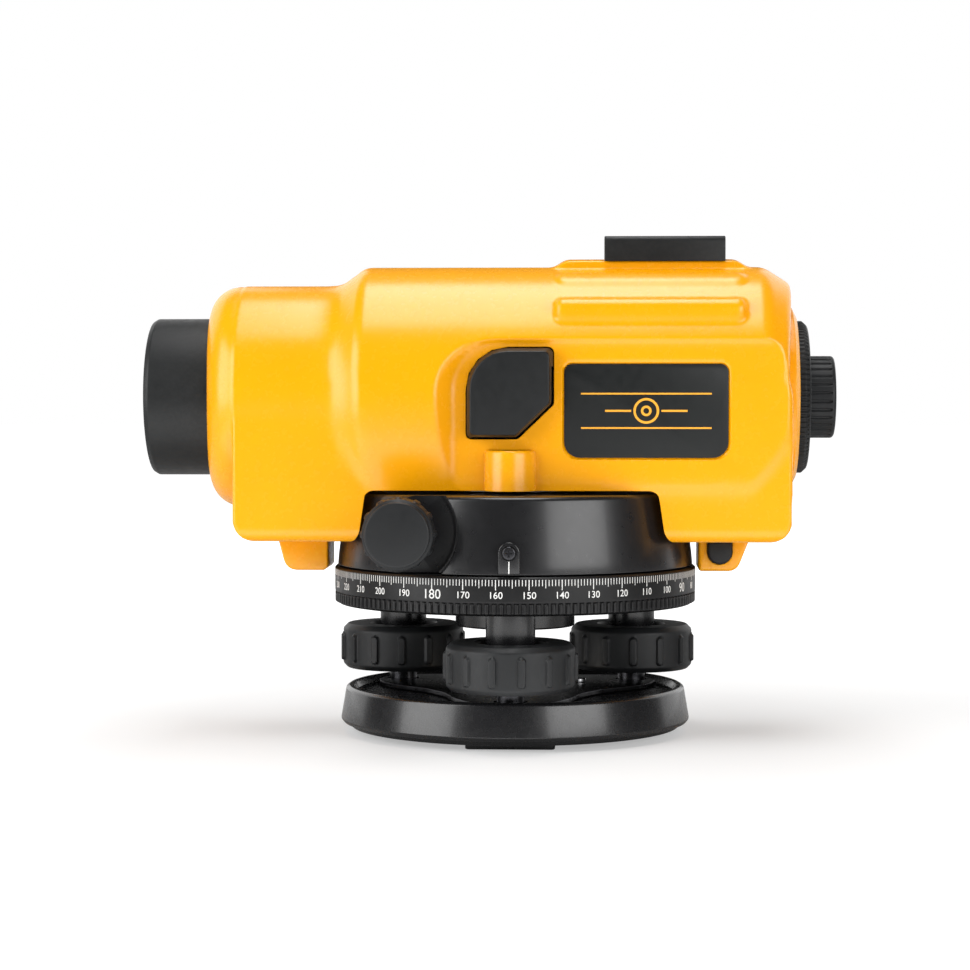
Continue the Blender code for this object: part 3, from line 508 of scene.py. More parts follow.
def roof_form(x, y, w, r):
    """The pad under the sight, and a low bead and a ledge on each side of it."""
    low_x, high_x, half, rise = ROOF_PAD
    beyond = np.maximum(low_x - x, x - high_x)
    ends = np.maximum(beyond * 0.55 + (r - MAIN_R) * 0.84, beyond - 0.5)
    pad = soft_max(rounded_box(y, w, -half, half, 0.0, 60.0, 0.5), r - MAIN_R - rise, 0.8)
    pad = soft_max(pad, ends, 1.0)
    low_x, high_x, middle, half, rise = ROOF_BEAD
    degree = MAIN_R * math.pi / 180
    turn = np.degrees(np.arctan2(np.abs(y), w)) - middle
    bead = soft_max(rounded_box(x, turn * degree, low_x, high_x, -half * degree, half * degree, 4.0),
                    r - MAIN_R - rise, 3.0)
    low_x, high_x, out, top = ROOF_LEDGE
    ledge = rounded_box(np.abs(y), w, -out, out, -top, top, 3.4)
    ledge = np.maximum(ledge, 24.0 - np.abs(y))
    ends = rounded_box(x, turn * degree, low_x, high_x, -60.0, 31.0 * degree, 3.4)
    return soft_min(soft_min(pad, bead, 0.8), soft_max(ledge, ends, 2.6), 0.8)


def housing_form(x, y, w):
    """Below zero inside the housing. w is the height over the line of sight. A soft_min or soft_max rounds
    the edge where two forms meet."""
    r = np.hypot(y, w)
    side = np.abs(y)
    low = LEG_Z - SIGHT_Z
    room = ROOM_Z - SIGHT_Z
    front = rounded_box(x, r, FRONT_X, 40.0, -FRONT_R, FRONT_R, 0.8)
    skirt = thick(rounded_box(x, w, FRONT_X, LEG_REAR_X, low, 6.0, 6.6), side - FRONT_R, 1.1)
    skirt = np.maximum(skirt, rounded_box(side, w, -FRONT_R, FRONT_R, low, 60.0, 3.8))
    nose = rounded_box(x - y * y * NOSE_SWEEP, r, NOSE_FACE_X, 40.0, -FRONT_R, FRONT_R, 9.0)
    front = soft_min(soft_min(front, skirt, 0.4), nose, 0.8)
    tall = np.hypot(y, np.where(w < 0, w * LOWER_SQUASH, w))
    main = rounded_box(x + y * y * TAIL_SWEEP, tall, -200.0, TAIL_X, -MAIN_R, MAIN_R, 4.5)
    main = soft_max(main, cone(x, r, *SHOULDER), 1.3)
    foot_x, foot_w, foot_arc = FOOT_ARC
    slope = SHOULDER[1]
    foot = rounded_box(x, w, foot_x, 300.0, foot_w, 300.0, foot_arc) * slope + side - FRONT_R
    main = soft_max(main, foot / math.hypot(1.0, slope), 1.3)
    main = soft_max(soft_max(main, cone(x, r, *TAIL_CONE), 1.2), low + 0.4 - w, 0.8)
    main = soft_max(main, -panel_cut(x, y, w), 0.7)
    panel = rounded_box(x, w, PANEL_FROM_X + 4.0, PANEL_TO_X, room - 0.5, PANEL_TOP, 4.8)
    corner = rounded_box(x, w, -60.0, PANEL_TO_X, room + 1.4, 60.0, 24.0)
    panel = thick(np.maximum(panel, np.where(x > 40, corner, -50.0)), side - PANEL_Y, 0.5)
    body = soft_min(soft_min(front, main, 2.4), panel, 0.5)
    return soft_min(body, roof_form(x, y, w, r), 0.9)


def spaced(low, high, coarse, places):
    """Values from low to high, coarse apart, but closer near each place (middle, reach, step)."""
    values = [low]
    while values[-1] < high - 1e-9:
        here = values[-1]
        steps = [step for middle, reach, step in places if middle - reach <= here < middle + reach]
        ahead = [middle - reach - here for middle, reach, step in places if middle - reach > here]
        values.append(min(high, here + min(steps + [coarse] + [max(a, 0.15) for a in ahead])))
    return np.array(values)


# Between its ends the skin's rings are square to the axis. ALONG says where they lie closer, and AROUND the
# same for the rays, in degrees from the top: middle, reach, step. ROUGHLY is for the inside.
SKIN_ENDS = (-86.0, 80.2)
ALONG = ((-80.0, 4.5, 0.35), (-82.4, 1.2, 0.25), (-52.8, 1.3, 0.3), (-45.2, 1.8, 0.35), (-18.5, 4.5, 0.35),
         (-8.0, 6.5, 0.8), (13.0, 3.4, 0.35), (69.5, 12.5, 0.6), (81.0, 2.0, 0.3))
AROUND = ((11.8, 1.6, 0.35), (20.0, 2.0, 0.5), (33.0, 2.4, 0.5), (43.5, 2.4, 0.4), (54.0, 5.0, 0.5),
          (63.6, 2.2, 0.3), (111.0, 15.0, 0.9), (128.0, 2.0, 0.45), (141.0, 4.0, 0.45))
ROUGHLY = ((-81.0, 3.0, 1.0), (-50.0, 5.0, 1.5), (-15.0, 5.0, 1.5), (78.0, 3.0, 1.0))


def housing_skin(name, inset, fine):
    """The housing's closed surface, found along rays from its axis that fan out at its two ends."""
    if fine:
        along = spaced(*SKIN_ENDS, 3.0, ALONG)
        fans = np.array(spaced(0.6, 60.0, 5.0, ((9.0, 9.0, 0.6), (24.0, 6.0, 2.0))))
        mirrored = tuple((-middle, reach, step) for middle, reach, step in AROUND)
        rays = spaced(-180.0, 180.0, 2.0, AROUND + mirrored)[:-1]
    else:
        along = spaced(*SKIN_ENDS, 9.0, ROUGHLY)
        fans, rays = np.arange(6.0, 57.0, 8.0), np.arange(-180, 180, 7.5)
    front_from, rear_from = SKIN_ENDS
    starts = np.concatenate([np.full(len(fans), rear_from), along[::-1], np.full(len(fans), front_from)])
    tilts = np.radians(np.concatenate([-fans[::-1], np.zeros(len(along)), fans]))
    turn = np.radians(rays)
    rows, columns = len(starts), len(turn)
    dx = -np.sin(tilts)[:, None] + 0 * turn[None, :]
    dy = np.cos(tilts)[:, None] * np.sin(turn)[None, :]
    dw = np.cos(tilts)[:, None] * np.cos(turn)[None, :]
    low, high = np.full((rows, columns), 0.2), np.full((rows, columns), 90.0)
    for _ in range(24):
        t = (low + high) / 2
        outside = housing_form(starts[:, None] + dx * t, dy * t, dw * t) > -inset
        high, low = np.where(outside, t, high), np.where(outside, low, t)
    t = (low + high) / 2
    points = np.stack([starts[:, None] + dx * t, dy * t, dw * t + SIGHT_Z], axis=-1).reshape(-1, 3)
    caps = [tuple(range(columns)), tuple(range((rows - 1) * columns, rows * columns))]
    return solid(name, points, bands(rows, columns) + caps, "yellow" if fine else None, sharp=HOUSING_SHARP)


def drum_room(extra, top_round):
    """The room for the drum, grown by extra."""
    top = ROOM_Z + extra
    outline = [(0, top), (54.4 + extra, top, top_round), (58.4 + extra, 40.0), (0, 40.0)]
    return turned("drum_room", rounded(outline, 6), None, steps=160)


def hood_outline(grow):
    """The bubble hood: round at its upper front, cut away at its lower rear."""
    front, rear, low, high = -13.0 - grow, 12.1 + grow, 89.7 - grow, 116.0 + grow
    cut = 0.4 * grow
    return [(front, low, 1.6), (1.7 + cut, low, 1.6), (rear, 99.7 - cut, 1.6), (rear, high, 1.8),
            (front, high, 12.4 + grow)]


PLATE_X = (15.4, 63.2)
PLATE_Z = (84.0, 111.4)
VIAL = (-0.4, -33.0)
HOUSING_SCREWS = ((-74.0, 66.0, FRONT_R), (-74.0, 90.0, FRONT_R), (70.0, 66.0, FRONT_R),
                  (68.0, 108.0, PANEL_Y))            # x, z and the face the head sits in


def plate_outline(grow):
    (x0, x1), (z0, z1) = PLATE_X, PLATE_Z
    return [(x0 - grow, z0 - grow, 4.6), (x1 + grow, z0 - grow, 4.6), (x1 + grow, z1 + grow, 2.4),
            (x0 - grow, z1 + grow, 2.4)]


def vial_boss():
    profile = [(0, ROOM_Z - 1), (BOSS_R, ROOM_Z - 1), (BOSS_R, BOSS_TOP, 1.0), (0, BOSS_TOP)]
    return turned("vial_boss", rounded(profile), "yellow", at=(*VIAL, 0), steps=96)


def housing():
    """Both halves of the housing, cut from one closed form."""
    body = housing_skin("housing", 0.0, True)
    combine(body, [vial_boss()], "UNION")
    inside = housing_skin("housing_inside", WALL, False)
    combine(inside, [drum_room(WALL, 0.0), drill(BOSS_R, 70, BOSS_TOP, "Z", (*VIAL, 0))])
    tools = [
        inside,
        drum_room(0.0, 2.2),
        drill(BARREL_BORE, -100, -80, "X", (0, 0, SIGHT_Z), 96),
        drill(TAIL_BORE, 70, 90, "X", (0, 0, SIGHT_Z)),
        drill(AXIS_BORE, 70, 80, "Z", (0, 0, 0)),
        slab("hood_room", rounded(hood_outline(0.35)), -45.0, -25.0, None),
        stack("plate_room", [(rounded(plate_outline(grow)), -PANEL_Y + depth)
                             for grow, depth in ((0.2, 0.5), (0.2, 0.3), (0.65, -0.15), (0.65, -5.0))], None),
        drill(VIAL_WELL, 79.6, BOSS_TOP + 0.1, "Z", (*VIAL, 0)),
        drill(FOCUS_BORE, 30, 42, "Y", (FOCUS[0], 0, FOCUS[1])),
    ]
    for x, z, face in HOUSING_SCREWS:
        tools.append(drill(3.1, face - 1.5, 45, "Y", (x, 0, z), 32))
        tools.append(drill(1.6, 25, 45, "Y", (x, 0, z), 16))
    combine(body, tools, sharp=HOUSING_SHARP)
    for name, sign in (("housing_left", -1), ("housing_right", 1)):
        part(half_of(body, name + "_shell", sign), "alidade", name, slot="yellow_paint")
    discard(body)


def half_of(body, name, sign):
    """The half of a closed mesh on one side of the middle plane, closed again at the seam."""
    shape = bmesh.new()
    shape.from_mesh(body.data)
    everything = shape.verts[:] + shape.edges[:] + shape.faces[:]
    cut = bmesh.ops.bisect_plane(shape, geom=everything, dist=1e-7, plane_co=(0, sign * SEAM * 0.001, 0),
                                 plane_no=(0, -sign, 0), clear_outer=True)
    rim = [e for e in cut["geom_cut"] if isinstance(e, bmesh.types.BMEdge)]
    bmesh.ops.triangle_fill(shape, use_beauty=True, edges=rim)
    bmesh.ops.recalc_face_normals(shape, faces=shape.faces)
    mesh = bpy.data.meshes.new(name)
    shape.to_mesh(mesh)
    shape.free()
    return dressed(name, mesh, "yellow", HOUSING_SHARP)


def housing_fittings():
    """Screws, foot blocks and the check button."""
    for i, (x, z, face) in enumerate(HOUSING_SCREWS):
        head = [(0, face - 0.1), (2.7, face - 0.1, 0.8), (2.7, face - 1.2), (1.3, face - 1.2), (1.3, 27.5),
                (0, 27.5)]
        screw = turned(f"housing_screw_{i + 1}_head", rounded(head), "steel", "Y", (x, 0, z), 40)
        combine(screw, cross_slot("Y", (x, face, z)))
        part(screw, "alidade", f"housing_screw_{i + 1}", slot="steel")
    front = [(-56.4, 58.9), (-71.6, 58.9), (-69.0, 49.2, 4.0), (-57.4, 49.2, 1.2), (-56.4, 50.4, 0.6)]
    front_foot = slab("front_foot", rounded(front[::-1]), -10.0, 10.0, "yellow", front=1.0, back=1.0)
    part(front_foot, "alidade", "front_foot_block", slot="yellow_paint")
    rear = [(55.5, 58.9), (55.5, 49.2, 1.0), (67.0, 49.2, 3.6), (70.9, 58.9)]
    rear_foot = slab("rear_foot", rounded(rear), -10.0, 10.0, "yellow", front=1.0, back=1.0)
    combine(rear_foot, [slab("button_room", button_outline(3.9, 62.0), -20.0, -1.0, None)])
    part(rear_foot, "alidade", "rear_foot_block", slot="yellow_paint")
    button = slab("button_cap", button_outline(3.7, 58.2), -12.0, -4.2, "rubber", front=0.8)
    part(button, "button", "check_button", slot="black_plastic")


def button_outline(radius, top):
    """Round below and straight above, in (x, z)."""
    x, z = BUTTON[0], BUTTON[1] + 0.5
    arc = [(x + radius * math.cos(a), z + radius * math.sin(a)) for a in np.linspace(-math.pi, 0.0, 25)]
    return [(x - radius, top)] + arc + [(x + radius, top)]


def cross_slot(along, tip, reach=1.5, width=0.45, depth=0.8):
    """Two crossed bars that cut a screw's recess at the tip."""
    bars = []
    for a, b in ((reach, width / 2), (width / 2, reach)):
        half = (a, depth, b) if along == "Y" else (a, b, depth)
        bars.append(block("slot_bar", *([c + sign * h for c, h in zip(tip, half)] for sign in (-1, 1))))
    return bars


def open_sight():
    """Sight block with a V groove along it, and a fine lip at its upper edges."""
    top, low = 150.0, 143.0
    half, lip, lip_z = 9.1, 8.5, 141.4
    outline = [(-half, lip_z), (-lip, lip_z), (-lip, low), (lip, low), (lip, lip_z), (half, lip_z),
               (half, top, 1.6), (2.9, top, 0.4), (0.0, top - 3.3, 0.5), (-2.9, top, 0.4), (-half, top, 1.6)]
    x0, x1 = span("open_sight", 0)
    x0 += 0.6
    sight = slab("sight_block", rounded(outline), x0, x1, "matt", "X", front=0.3, back=0.3)
    reach = MAIN_R + ROOF_PAD[3] + 0.15
    pad_room = [(20.0, x0 - 9), (20.0, x1 + 9), (reach, x1 + 9), (reach, x0 - 9)]
    combine(sight, [turned("pad_room", pad_room, None, "X", (0, 0, SIGHT_Z), 200)])
    part(sight, "alidade", "open_sight", slot="black_plastic")


def bubble_level():
    levels = ((-1.35, -39.5), (-1.15, -39.45), (-1.0, -39.3), (-0.9, -39.05), (-0.1, -36.2), (0.0, -35.9),
              (0.0, -26.0))
    rings = [(rounded(hood_outline(grow), 8), y) for grow, y in levels]
    hood = stack("hood_shell", rings, "matt", sharp=HOUSING_SHARP)
    well = [(-11.6, 88.0), (-11.6, 92.4), (6.6, 110.6), (20.0, 110.6), (20.0, 88.0)]
    combine(hood, [slab("well", well, -37.2, -28.2, None)])
    part(hood, "alidade", "bubble_hood", slot="black_plastic")
    cup = rounded([(0, 79.9), (6.0, 79.9), (6.0, 83.0, 0.3), (5.0, 83.0), (5.0, 82.2), (0, 82.2)])
    part(turned("vial_seat", cup, "steel", at=(*VIAL, 0), steps=64), "alidade", "vial_cup", slot="steel")
    dome = rounded([(0, 83.3), (5.8, 83.3), (5.8, 84.5, 0.4), (4.6, 85.3, 2.0), (0, 85.8)])
    part(turned("vial_dome", dome, "liquid", at=(*VIAL, 0), steps=64), "alidade", "vial_glass", slot="glass")


def name_plate():
    """A flush plate with a plain target pictogram on it."""
    y = -PANEL_Y + 0.05
    front, back = y - 0.04, y + 0.1
    plate = slab("flank_plate", rounded(plate_outline(0.0), 6), y, y + 0.4, "plate", front=0.12, segments=2)
    part(plate, "alidade", "name_plate", slot="plate_plastic")
    x, z = sum(PLATE_X) / 2, sum(PLATE_Z) / 2
    rules = [rectangle(x - 19, h - 0.25, x + 19, h + 0.25) for h in (z - 5.0, z + 5.0)]
    marks = [slab("rule", rule, front, back, "amber") for rule in rules]
    for radius in (3.4, 1.2):
        ring = rectangle(radius - 0.35, front, radius + 0.35, back)
        marks.append(turned("ring", ring, "amber", "Y", (x, 0, z), 64))
    for low, high in ((-12.0, -4.4), (4.4, 12.0)):
        marks.append(slab("bar", rectangle(x + low, z - 0.3, x + high, z + 0.3), front, back, "amber"))
    part(joined("plate_marks", marks, "amber"), "alidade")


# ---- telescope ----

def telescope():
    at = (0, 0, SIGHT_Z)
    x0 = span("objective_barrel", 0)[0]
    barrel = [(23.8, -86.0), (20.8, -86.0), (20.8, x0 + 5.4), (21.3, x0 + 5.0), (21.3, x0 + 1.2),
              (22.0, x0, 0.5), (22.9, x0, 0.9), (23.8, x0 + 1.5, 1.0)]
    tube = turned("objective_tube", rounded(barrel), "matt", "X", at, 160)
    part(tube, "alidade", "objective_barrel", slot="black_plastic")
    crown = [(20.3 * s, -103.5 - 2.0 * (1 - s * s)) for s in (1.0, 0.85, 0.7, 0.55, 0.4, 0.25, 0.12, 0.0)]
    back = [(20.3 * s, -97.0 + 0.4 * (1 - s * s)) for s in (0.0, 0.5, 1.0)]
    lens = turned("front_lens", crown + back, "glass", "X", at, 96)
    part(lens, "alidade", "objective_lens", slot="glass")

    bezel = [(12.9, 81.5), (27.1, 81.5), (27.1, 83.5, 0.2), (24.6, 84.8, 1.2), (23.4, 84.8), (23.4, 84.1),
             (12.9, 84.1)]
    tail = turned("tail_plate", rounded(bezel), "yellow", "X", at, 128)
    part(tail, "alidade", "rear_bezel", slot="yellow_paint")
    cover = [(13.0, 84.2), (23.0, 84.2), (23.0, 86.7, 0.6), (21.6, 88.2, 0.8), (20.4, 88.2),
             (20.0, 87.3, 0.3), (14.6, 87.3, 0.3), (14.2, 88.2), (13.0, 88.2)]
    cover = dense(rounded(cover), 0.4, lambda r, h: r > 22.0)
    knurl = ribs(90, 22.75, 0.42, 85.9, 3.6, -0.45, soft=0.3)
    reticle_ring = turned("reticle_ring", cover, "matt", "X", at, 720, knurl)
    part(reticle_ring, "alidade", "reticle_cover", slot="black_plastic")
    x1 = span("eyepiece_ring", 0)[1]
    ring = [(11.4, 86.9), (12.4, 86.9), (12.4, x1, 1.1), (8.6, x1, 0.8), (6.2, 93.0), (11.4, 93.0)]
    ring = dense(rounded(ring), 0.5, lambda r, h: r > 12.0)
    grip = ribs(30, 12.2, 0.42, 90.4, 4.6, -0.5, soft=0.35)
    eye_ring = turned("eye_ring", ring, "rubber", "X", at, 480, grip)
    part(eye_ring, "diopter_ring", "eyepiece_ring", slot="black_plastic")


def focus_knob():
    x, z = FOCUS
    low, high = span("focus_knob", 1)
    outline = [(0, high), (11.4, high, 0.6), (12.4, high - 0.6, 0.3), (14.2, high - 0.5, 0.8),
               (16.0, high - 1.6, 1.0), (16.0, 38.6, 1.0), (13.6, low, 0.6), (2.5, low), (2.5, 47.0),
               (0, 47.0)]
    outline = dense(rounded(outline), 0.6, lambda r, h: r > 15.5)
    grip = ribs(20, 15.8, 0.9, 43.2, 4.6, -0.7, soft=0.5, over=0.4)
    knob = turned("side_knob", outline, "rubber", "Y", (x, 0, z), 360, grip)
    part(knob, "focus_drive", "focus_knob", slot="black_plastic")


# ---- drum and circle ----

POCKET_R = 16.8              # the hollow in the drum behind each tangent knob, and where its floor is
POCKET_Y = 41.5


def drum():
    low, high = span("drum_housing", 2)
    outline = [(38.0, low), (54.0, low, 0.3), (53.7, 54.5), (51.2, high, 1.5), (12.3, high), (12.3, 56.0),
               (16.2, 56.0), (16.2, 70.2), (38.0, 70.2)]
    body = turned("drum_shell", dense(rounded(outline, 6), 6.0), "drum", steps=256)
    tools = [drill(2.5, -60, 60, "Y", (WORM_X, 0, WORM_Z), 32)]
    for sign in (-1, 1):
        ends = sorted((sign * POCKET_Y, sign * 70.0))
        tools.append(drill(POCKET_R, *ends, "Y", (WORM_X, 0, WORM_Z), 128, edge=2.0))
    combine(body, tools)
    part(body, "alidade", "drum_housing", slot="black_paint")
    for name, sign in (("left", -1), ("right", 1)):
        tangent_knob(name, sign)


def tangent_knob(name, sign):
    inner, outer = 49.0, 62.0
    outline = rounded([(2.5, inner), (9.0, inner, 0.4), (10.2, inner + 1.0, 0.6), (10.2, outer - 2.4, 0.8),
                       (9.3, outer - 1.6, 0.4), (9.3, outer, 0.6), (0, outer), (0, 58.0), (2.5, 58.0)])
    grip = ribs(12, 10.2, 1.0, (inner + outer) / 2 - 1.0, 4.4, 0.55, soft=0.6, over=0.9)
    fine = [(r, sign * h) for r, h in dense(outline, 0.5, lambda r, h: r > 9.9)]

    def relief(angle, r, h):
        return grip(angle, r, sign * h)

    knob = turned(f"tangent_knob_{name}_grip", fine, "rubber", "Y", (WORM_X, 0, WORM_Z), 288, relief)
    part(knob, "tangent_drive", f"tangent_knob_{name}", slot="black_plastic")


def index_mark():
    z_low, z_screw, half = 51.4, 57.4, 3.1
    arch = [(half * math.cos(a), z_screw + half * math.sin(a)) for a in np.linspace(0, math.pi, 17)]
    pointer = slab("pointer_plate", [(-half, z_low), (half, z_low)] + arch, -55.4, -54.4, "black", front=0.35)
    at = (0, 0, z_screw)
    combine(pointer, [drill(2.2, -57, -55.0, "Y", at, 48), drill(1.5, -57, -52, "Y", at, 32)])
    part(pointer, "alidade", "index_pointer", slot="black_paint")
    head = rounded([(0, -56.2), (1.9, -56.2, 0.6), (1.9, -55.3), (1.0, -55.3), (1.0, -53.9), (0, -53.9)])
    screw = turned("index_screw_head", head, "dark_steel", "Y", at, 48)
    combine(screw, cross_slot("Y", (0, -56.2, z_screw), 1.2, 0.4, 0.7))
    part(screw, "alidade", "index_screw", slot="steel")
    line = slab("pointer_line", rectangle(-0.16, z_low + 0.1, 0.16, 55.0), -55.46, -55.2, "white")
    part(line, "alidade")


CIRCLE_R = 54.9
DEGREES_AT_POINTER = 156
KNURLS = 160
KNURL_TOP = 43.0
SCALE_TOP = 0.75             # how far below the ring's top edge the ticks start
NUMBERS_AT = 5.3             # and the numbers' middle lies


def circle():
    low, high = span("horizontal_circle", 2)
    wall = CIRCLE_R - 0.05
    outline = [(51.4, low), (53.7, low, 0.4), (wall, low + 0.7, 0.3), (wall, KNURL_TOP, 0.2),
               (CIRCLE_R, 43.4, 0.1), (CIRCLE_R, high - 0.5, 0.3), (CIRCLE_R - 0.5, high, 0.2), (46.0, high),
               (46.0, 49.3), (51.4, 49.3)]
    knurl = ribs(KNURLS, wall, 0.62, 40.3, 2.4, 0.0, soft=0.3)
    ridge = ribs(KNURLS, CIRCLE_R, 0.58, 41.0, 1.9, 1.0, soft=0.35)

    def grooves(angle, r, h):
        return -0.65 * (1 - ridge(angle, r, h)) * ((h < KNURL_TOP) & (r > 53.6)) + knurl(angle, r, h)

    fine = dense(rounded(outline), 0.35, lambda r, h: r > 53.6 and h < 43.2)
    ring = turned("degree_ring", fine, "circle", steps=1440, relief=grooves)
    part(ring, "circle", "horizontal_circle", slot="black_paint")
    ticks(high - SCALE_TOP)
    numbers(high - NUMBERS_AT)


def wrapped(points, degree, height):
    """Points of a flat figure (right, up, out) laid on the ring at a degree of its scale."""
    p = np.asarray(points, float)
    a = math.radians(-90.0 - (degree - DEGREES_AT_POINTER)) + p[:, 0] / CIRCLE_R
    r = CIRCLE_R + p[:, 2]
    return np.stack([r * np.cos(a), r * np.sin(a), height + p[:, 1]], axis=-1).tolist()


def ticks(top):
    """A tick at each degree, longer at each five and ten."""
    proud, width = 0.045, 0.2
    points, faces = [], []
    for degree in range(360):
        length = 3.0 if degree % 10 == 0 else 2.4 if degree % 5 == 0 else 1.8
        half = width / 2 * (1.25 if degree % 10 == 0 else 1.0)
        corners = [(s * half, up, out) for out in (-0.1, proud) for up in (-length, 0.0) for s in (-1, 1)]
        first = len(points)
        points += wrapped(corners, degree, top)
        for quad in ((0, 1, 3, 2), (4, 6, 7, 5), (0, 4, 5, 1), (2, 3, 7, 6), (0, 2, 6, 4), (1, 5, 7, 3)):
            faces.append(tuple(first + q for q in quad))
    part(solid("degree_ticks", points, faces, "white"), "circle")


def numbers(middle):
    """A number at each ten, larger at the quarters."""
    points, faces = [], []
    for label in range(0, 360, 10):
        flat, polygons = figure(str(label), 3.9 if label % 90 == 0 else 2.8)
        first = len(points)
        points += wrapped(flat, label, middle)
        faces += [tuple(first + v for v in polygon) for polygon in polygons]
    part(solid("degree_numbers", points, faces, "white"), "circle")


def figure(text, size):
    """A number as a flat solid: points (right, up, out) in millimetres, and faces."""
    curve = bpy.data.curves.new("figure", "FONT")
    curve.body = text
    curve.size = size
    curve.align_x, curve.align_y = "CENTER", "CENTER"
    curve.extrude = 0.06
    curve.offset = 0.008
    curve.resolution_u = 4
    obj = linked("figure", curve)
    bpy.context.view_layer.update()
    mesh = bpy.data.meshes.new_from_object(obj.evaluated_get(bpy.context.evaluated_depsgraph_get()))
    points = [(v.co.x, v.co.y, v.co.z - 0.015) for v in mesh.vertices]
    faces = [tuple(f.vertices) for f in mesh.polygons]
    bpy.data.meshes.remove(mesh)
    bpy.data.objects.remove(obj)
    bpy.data.curves.remove(curve)
    return points, faces


# ---- levelling base ----

KNOB_R = 18.8
RIB_TURN = {"front": -78.5, "rear_right": -88.8, "rear_left": -87.6}       # where a rib is, in degrees
BALL_R, BALL_Z, BALL_NECK_R = 4.7, 8.5, 3.5


def foot_screws():
    neck = math.asin(BALL_NECK_R / BALL_R)
    arc = [(BALL_R * math.cos(a), BALL_Z + BALL_R * math.sin(a)) for a in np.linspace(neck, -math.pi / 2, 14)]
    ball = [(0, 12.0)] + arc[:-1] + [(0, BALL_Z - BALL_R)]
    stem = rounded([(0, 46.4), (3.4, 46.4, 0.3), (3.9, 45.6), (3.9, 27.0), (4.2, 26.6), (4.2, 12.5),
                    (0, 12.5)])
    for side in FEET:
        at = (*foot_place(side), 0)
        low, high = span(f"{side}_foot_knob", 2)
        outline = [(4.5, low), (17.5, low, 0.8), (KNOB_R, low + 1.4, 1.0), (KNOB_R, high - 1.6, 1.2),
                   (17.3, high - 0.1, 0.8), (10.4, high, 0.6), (9.7, 27.3), (4.5, 27.3)]
        fine = dense(rounded(outline), 0.45, lambda r, h: r > KNOB_R - 0.3)
        turn = math.radians(RIB_TURN[side])
        grip = ribs(14, KNOB_R, 1.1, (low + high) / 2 - 0.3, 4.3, 0.85, turn, soft=0.4)
        knob = turned(f"{side}_foot_grip", fine, "rubber", at=at, steps=420, relief=grip)
        part(knob, f"{side}_knob", f"{side}_foot_knob", slot="black_plastic")
        spindle = turned(f"{side}_foot_stem", stem, "dark_steel", at=at, steps=48)
        part(spindle, f"{side}_spindle", f"{side}_foot_spindle", slot="steel")
        foot = turned(f"{side}_ball", ball, "steel", at=at, steps=40)
        part(foot, "base" if side == "front" else "rear_feet", f"{side}_foot_ball", slot="steel")


def tribrach():
    outline = [(8.3, 31.9), (18.2, 31.9, 0.6), (18.2, 41.0, 1.2), (49.0, 41.0, 0.8), (49.0, 48.6, 0.5),
               (14.0, 48.6, 0.6), (14.0, 52.0, 0.4), (8.3, 52.0)]
    body = turned("tribrach_disc", rounded(outline), "black", steps=160)
    sleeve = rounded([(0, 30.0), (7.2, 30.0, 0.6), (7.2, 45.0), (0, 45.0)])
    places = [(*foot_place(side), 0) for side in FEET]
    combine(body, [turned("sleeve", sleeve, "black", at=at, steps=66) for at in places], "UNION")
    combine(body, [drill(4.4, 29.0, 50.0, "Z", at, 36) for at in places])
    part(body, "tribrach", "tribrach", slot="black_paint")


PAD_LONG, PAD_WIDE = 13.0, 5.0            # half sizes
BASE_RIM, BASE_FLOOR = 14.0, 11.5
THREAD_PITCH = 2.3


def base():
    outline = [(13.0, 1.5), (50.0, 1.5, 0.4), (50.3, 2.9, 0.3), (52.3, 3.0, 0.4), (53.1, 4.0, 0.7),
               (51.5, 13.4, 0.9), (50.5, BASE_RIM, 0.4), (49.3, BASE_RIM, 0.4), (48.4, BASE_FLOOR + 0.2, 0.6),
               (13.0, BASE_FLOOR)]
    body = turned("base_dish", rounded(outline), "black", steps=256)
    corners = rounded([(a, b, 1.2) for a, b in rectangle(-PAD_LONG, -PAD_WIDE, PAD_LONG, PAD_WIDE)])
    pads = []
    for side, angle in FEET.items():
        x, y = foot_place(side)
        angle = math.radians(angle) + math.pi / 2
        c, s = math.cos(angle), math.sin(angle)
        outline = [(x + a * c - b * s, y + a * s + b * c) for a, b in corners]
        pads.append(slab("pad", outline, 0.0, 2.0, "black", "Z", front=0.4))
    combine(body, pads, "UNION")
    combine(body, [drill(5.2, 3.4, 20.0, "Z", (*foot_place(side), 0), 48) for side in FEET])
    part(body, "base", "base_plate", slot="black_paint")

    def thread(angle, r, h):
        turns = (h / THREAD_PITCH + angle / TAU) % 1.0
        return np.where(r < 8.0, 0.4 * (turns - 0.5), 0.0) * (h > 2.8) * (h < 13.2)

    bush = [(7.2, 2.0, 0.5), (12.6, 2.0, 0.4), (12.6, 11.9), (16.0, 11.9), (16.0, 14.0, 0.5),
            (7.2, 14.0, 0.5)]
    bush = dense(rounded(bush), 0.3, lambda r, h: r < 7.3)
    part(turned("thread_bush", bush, "brass", steps=96, relief=thread), "base", "tripod_bush", slot="brass")


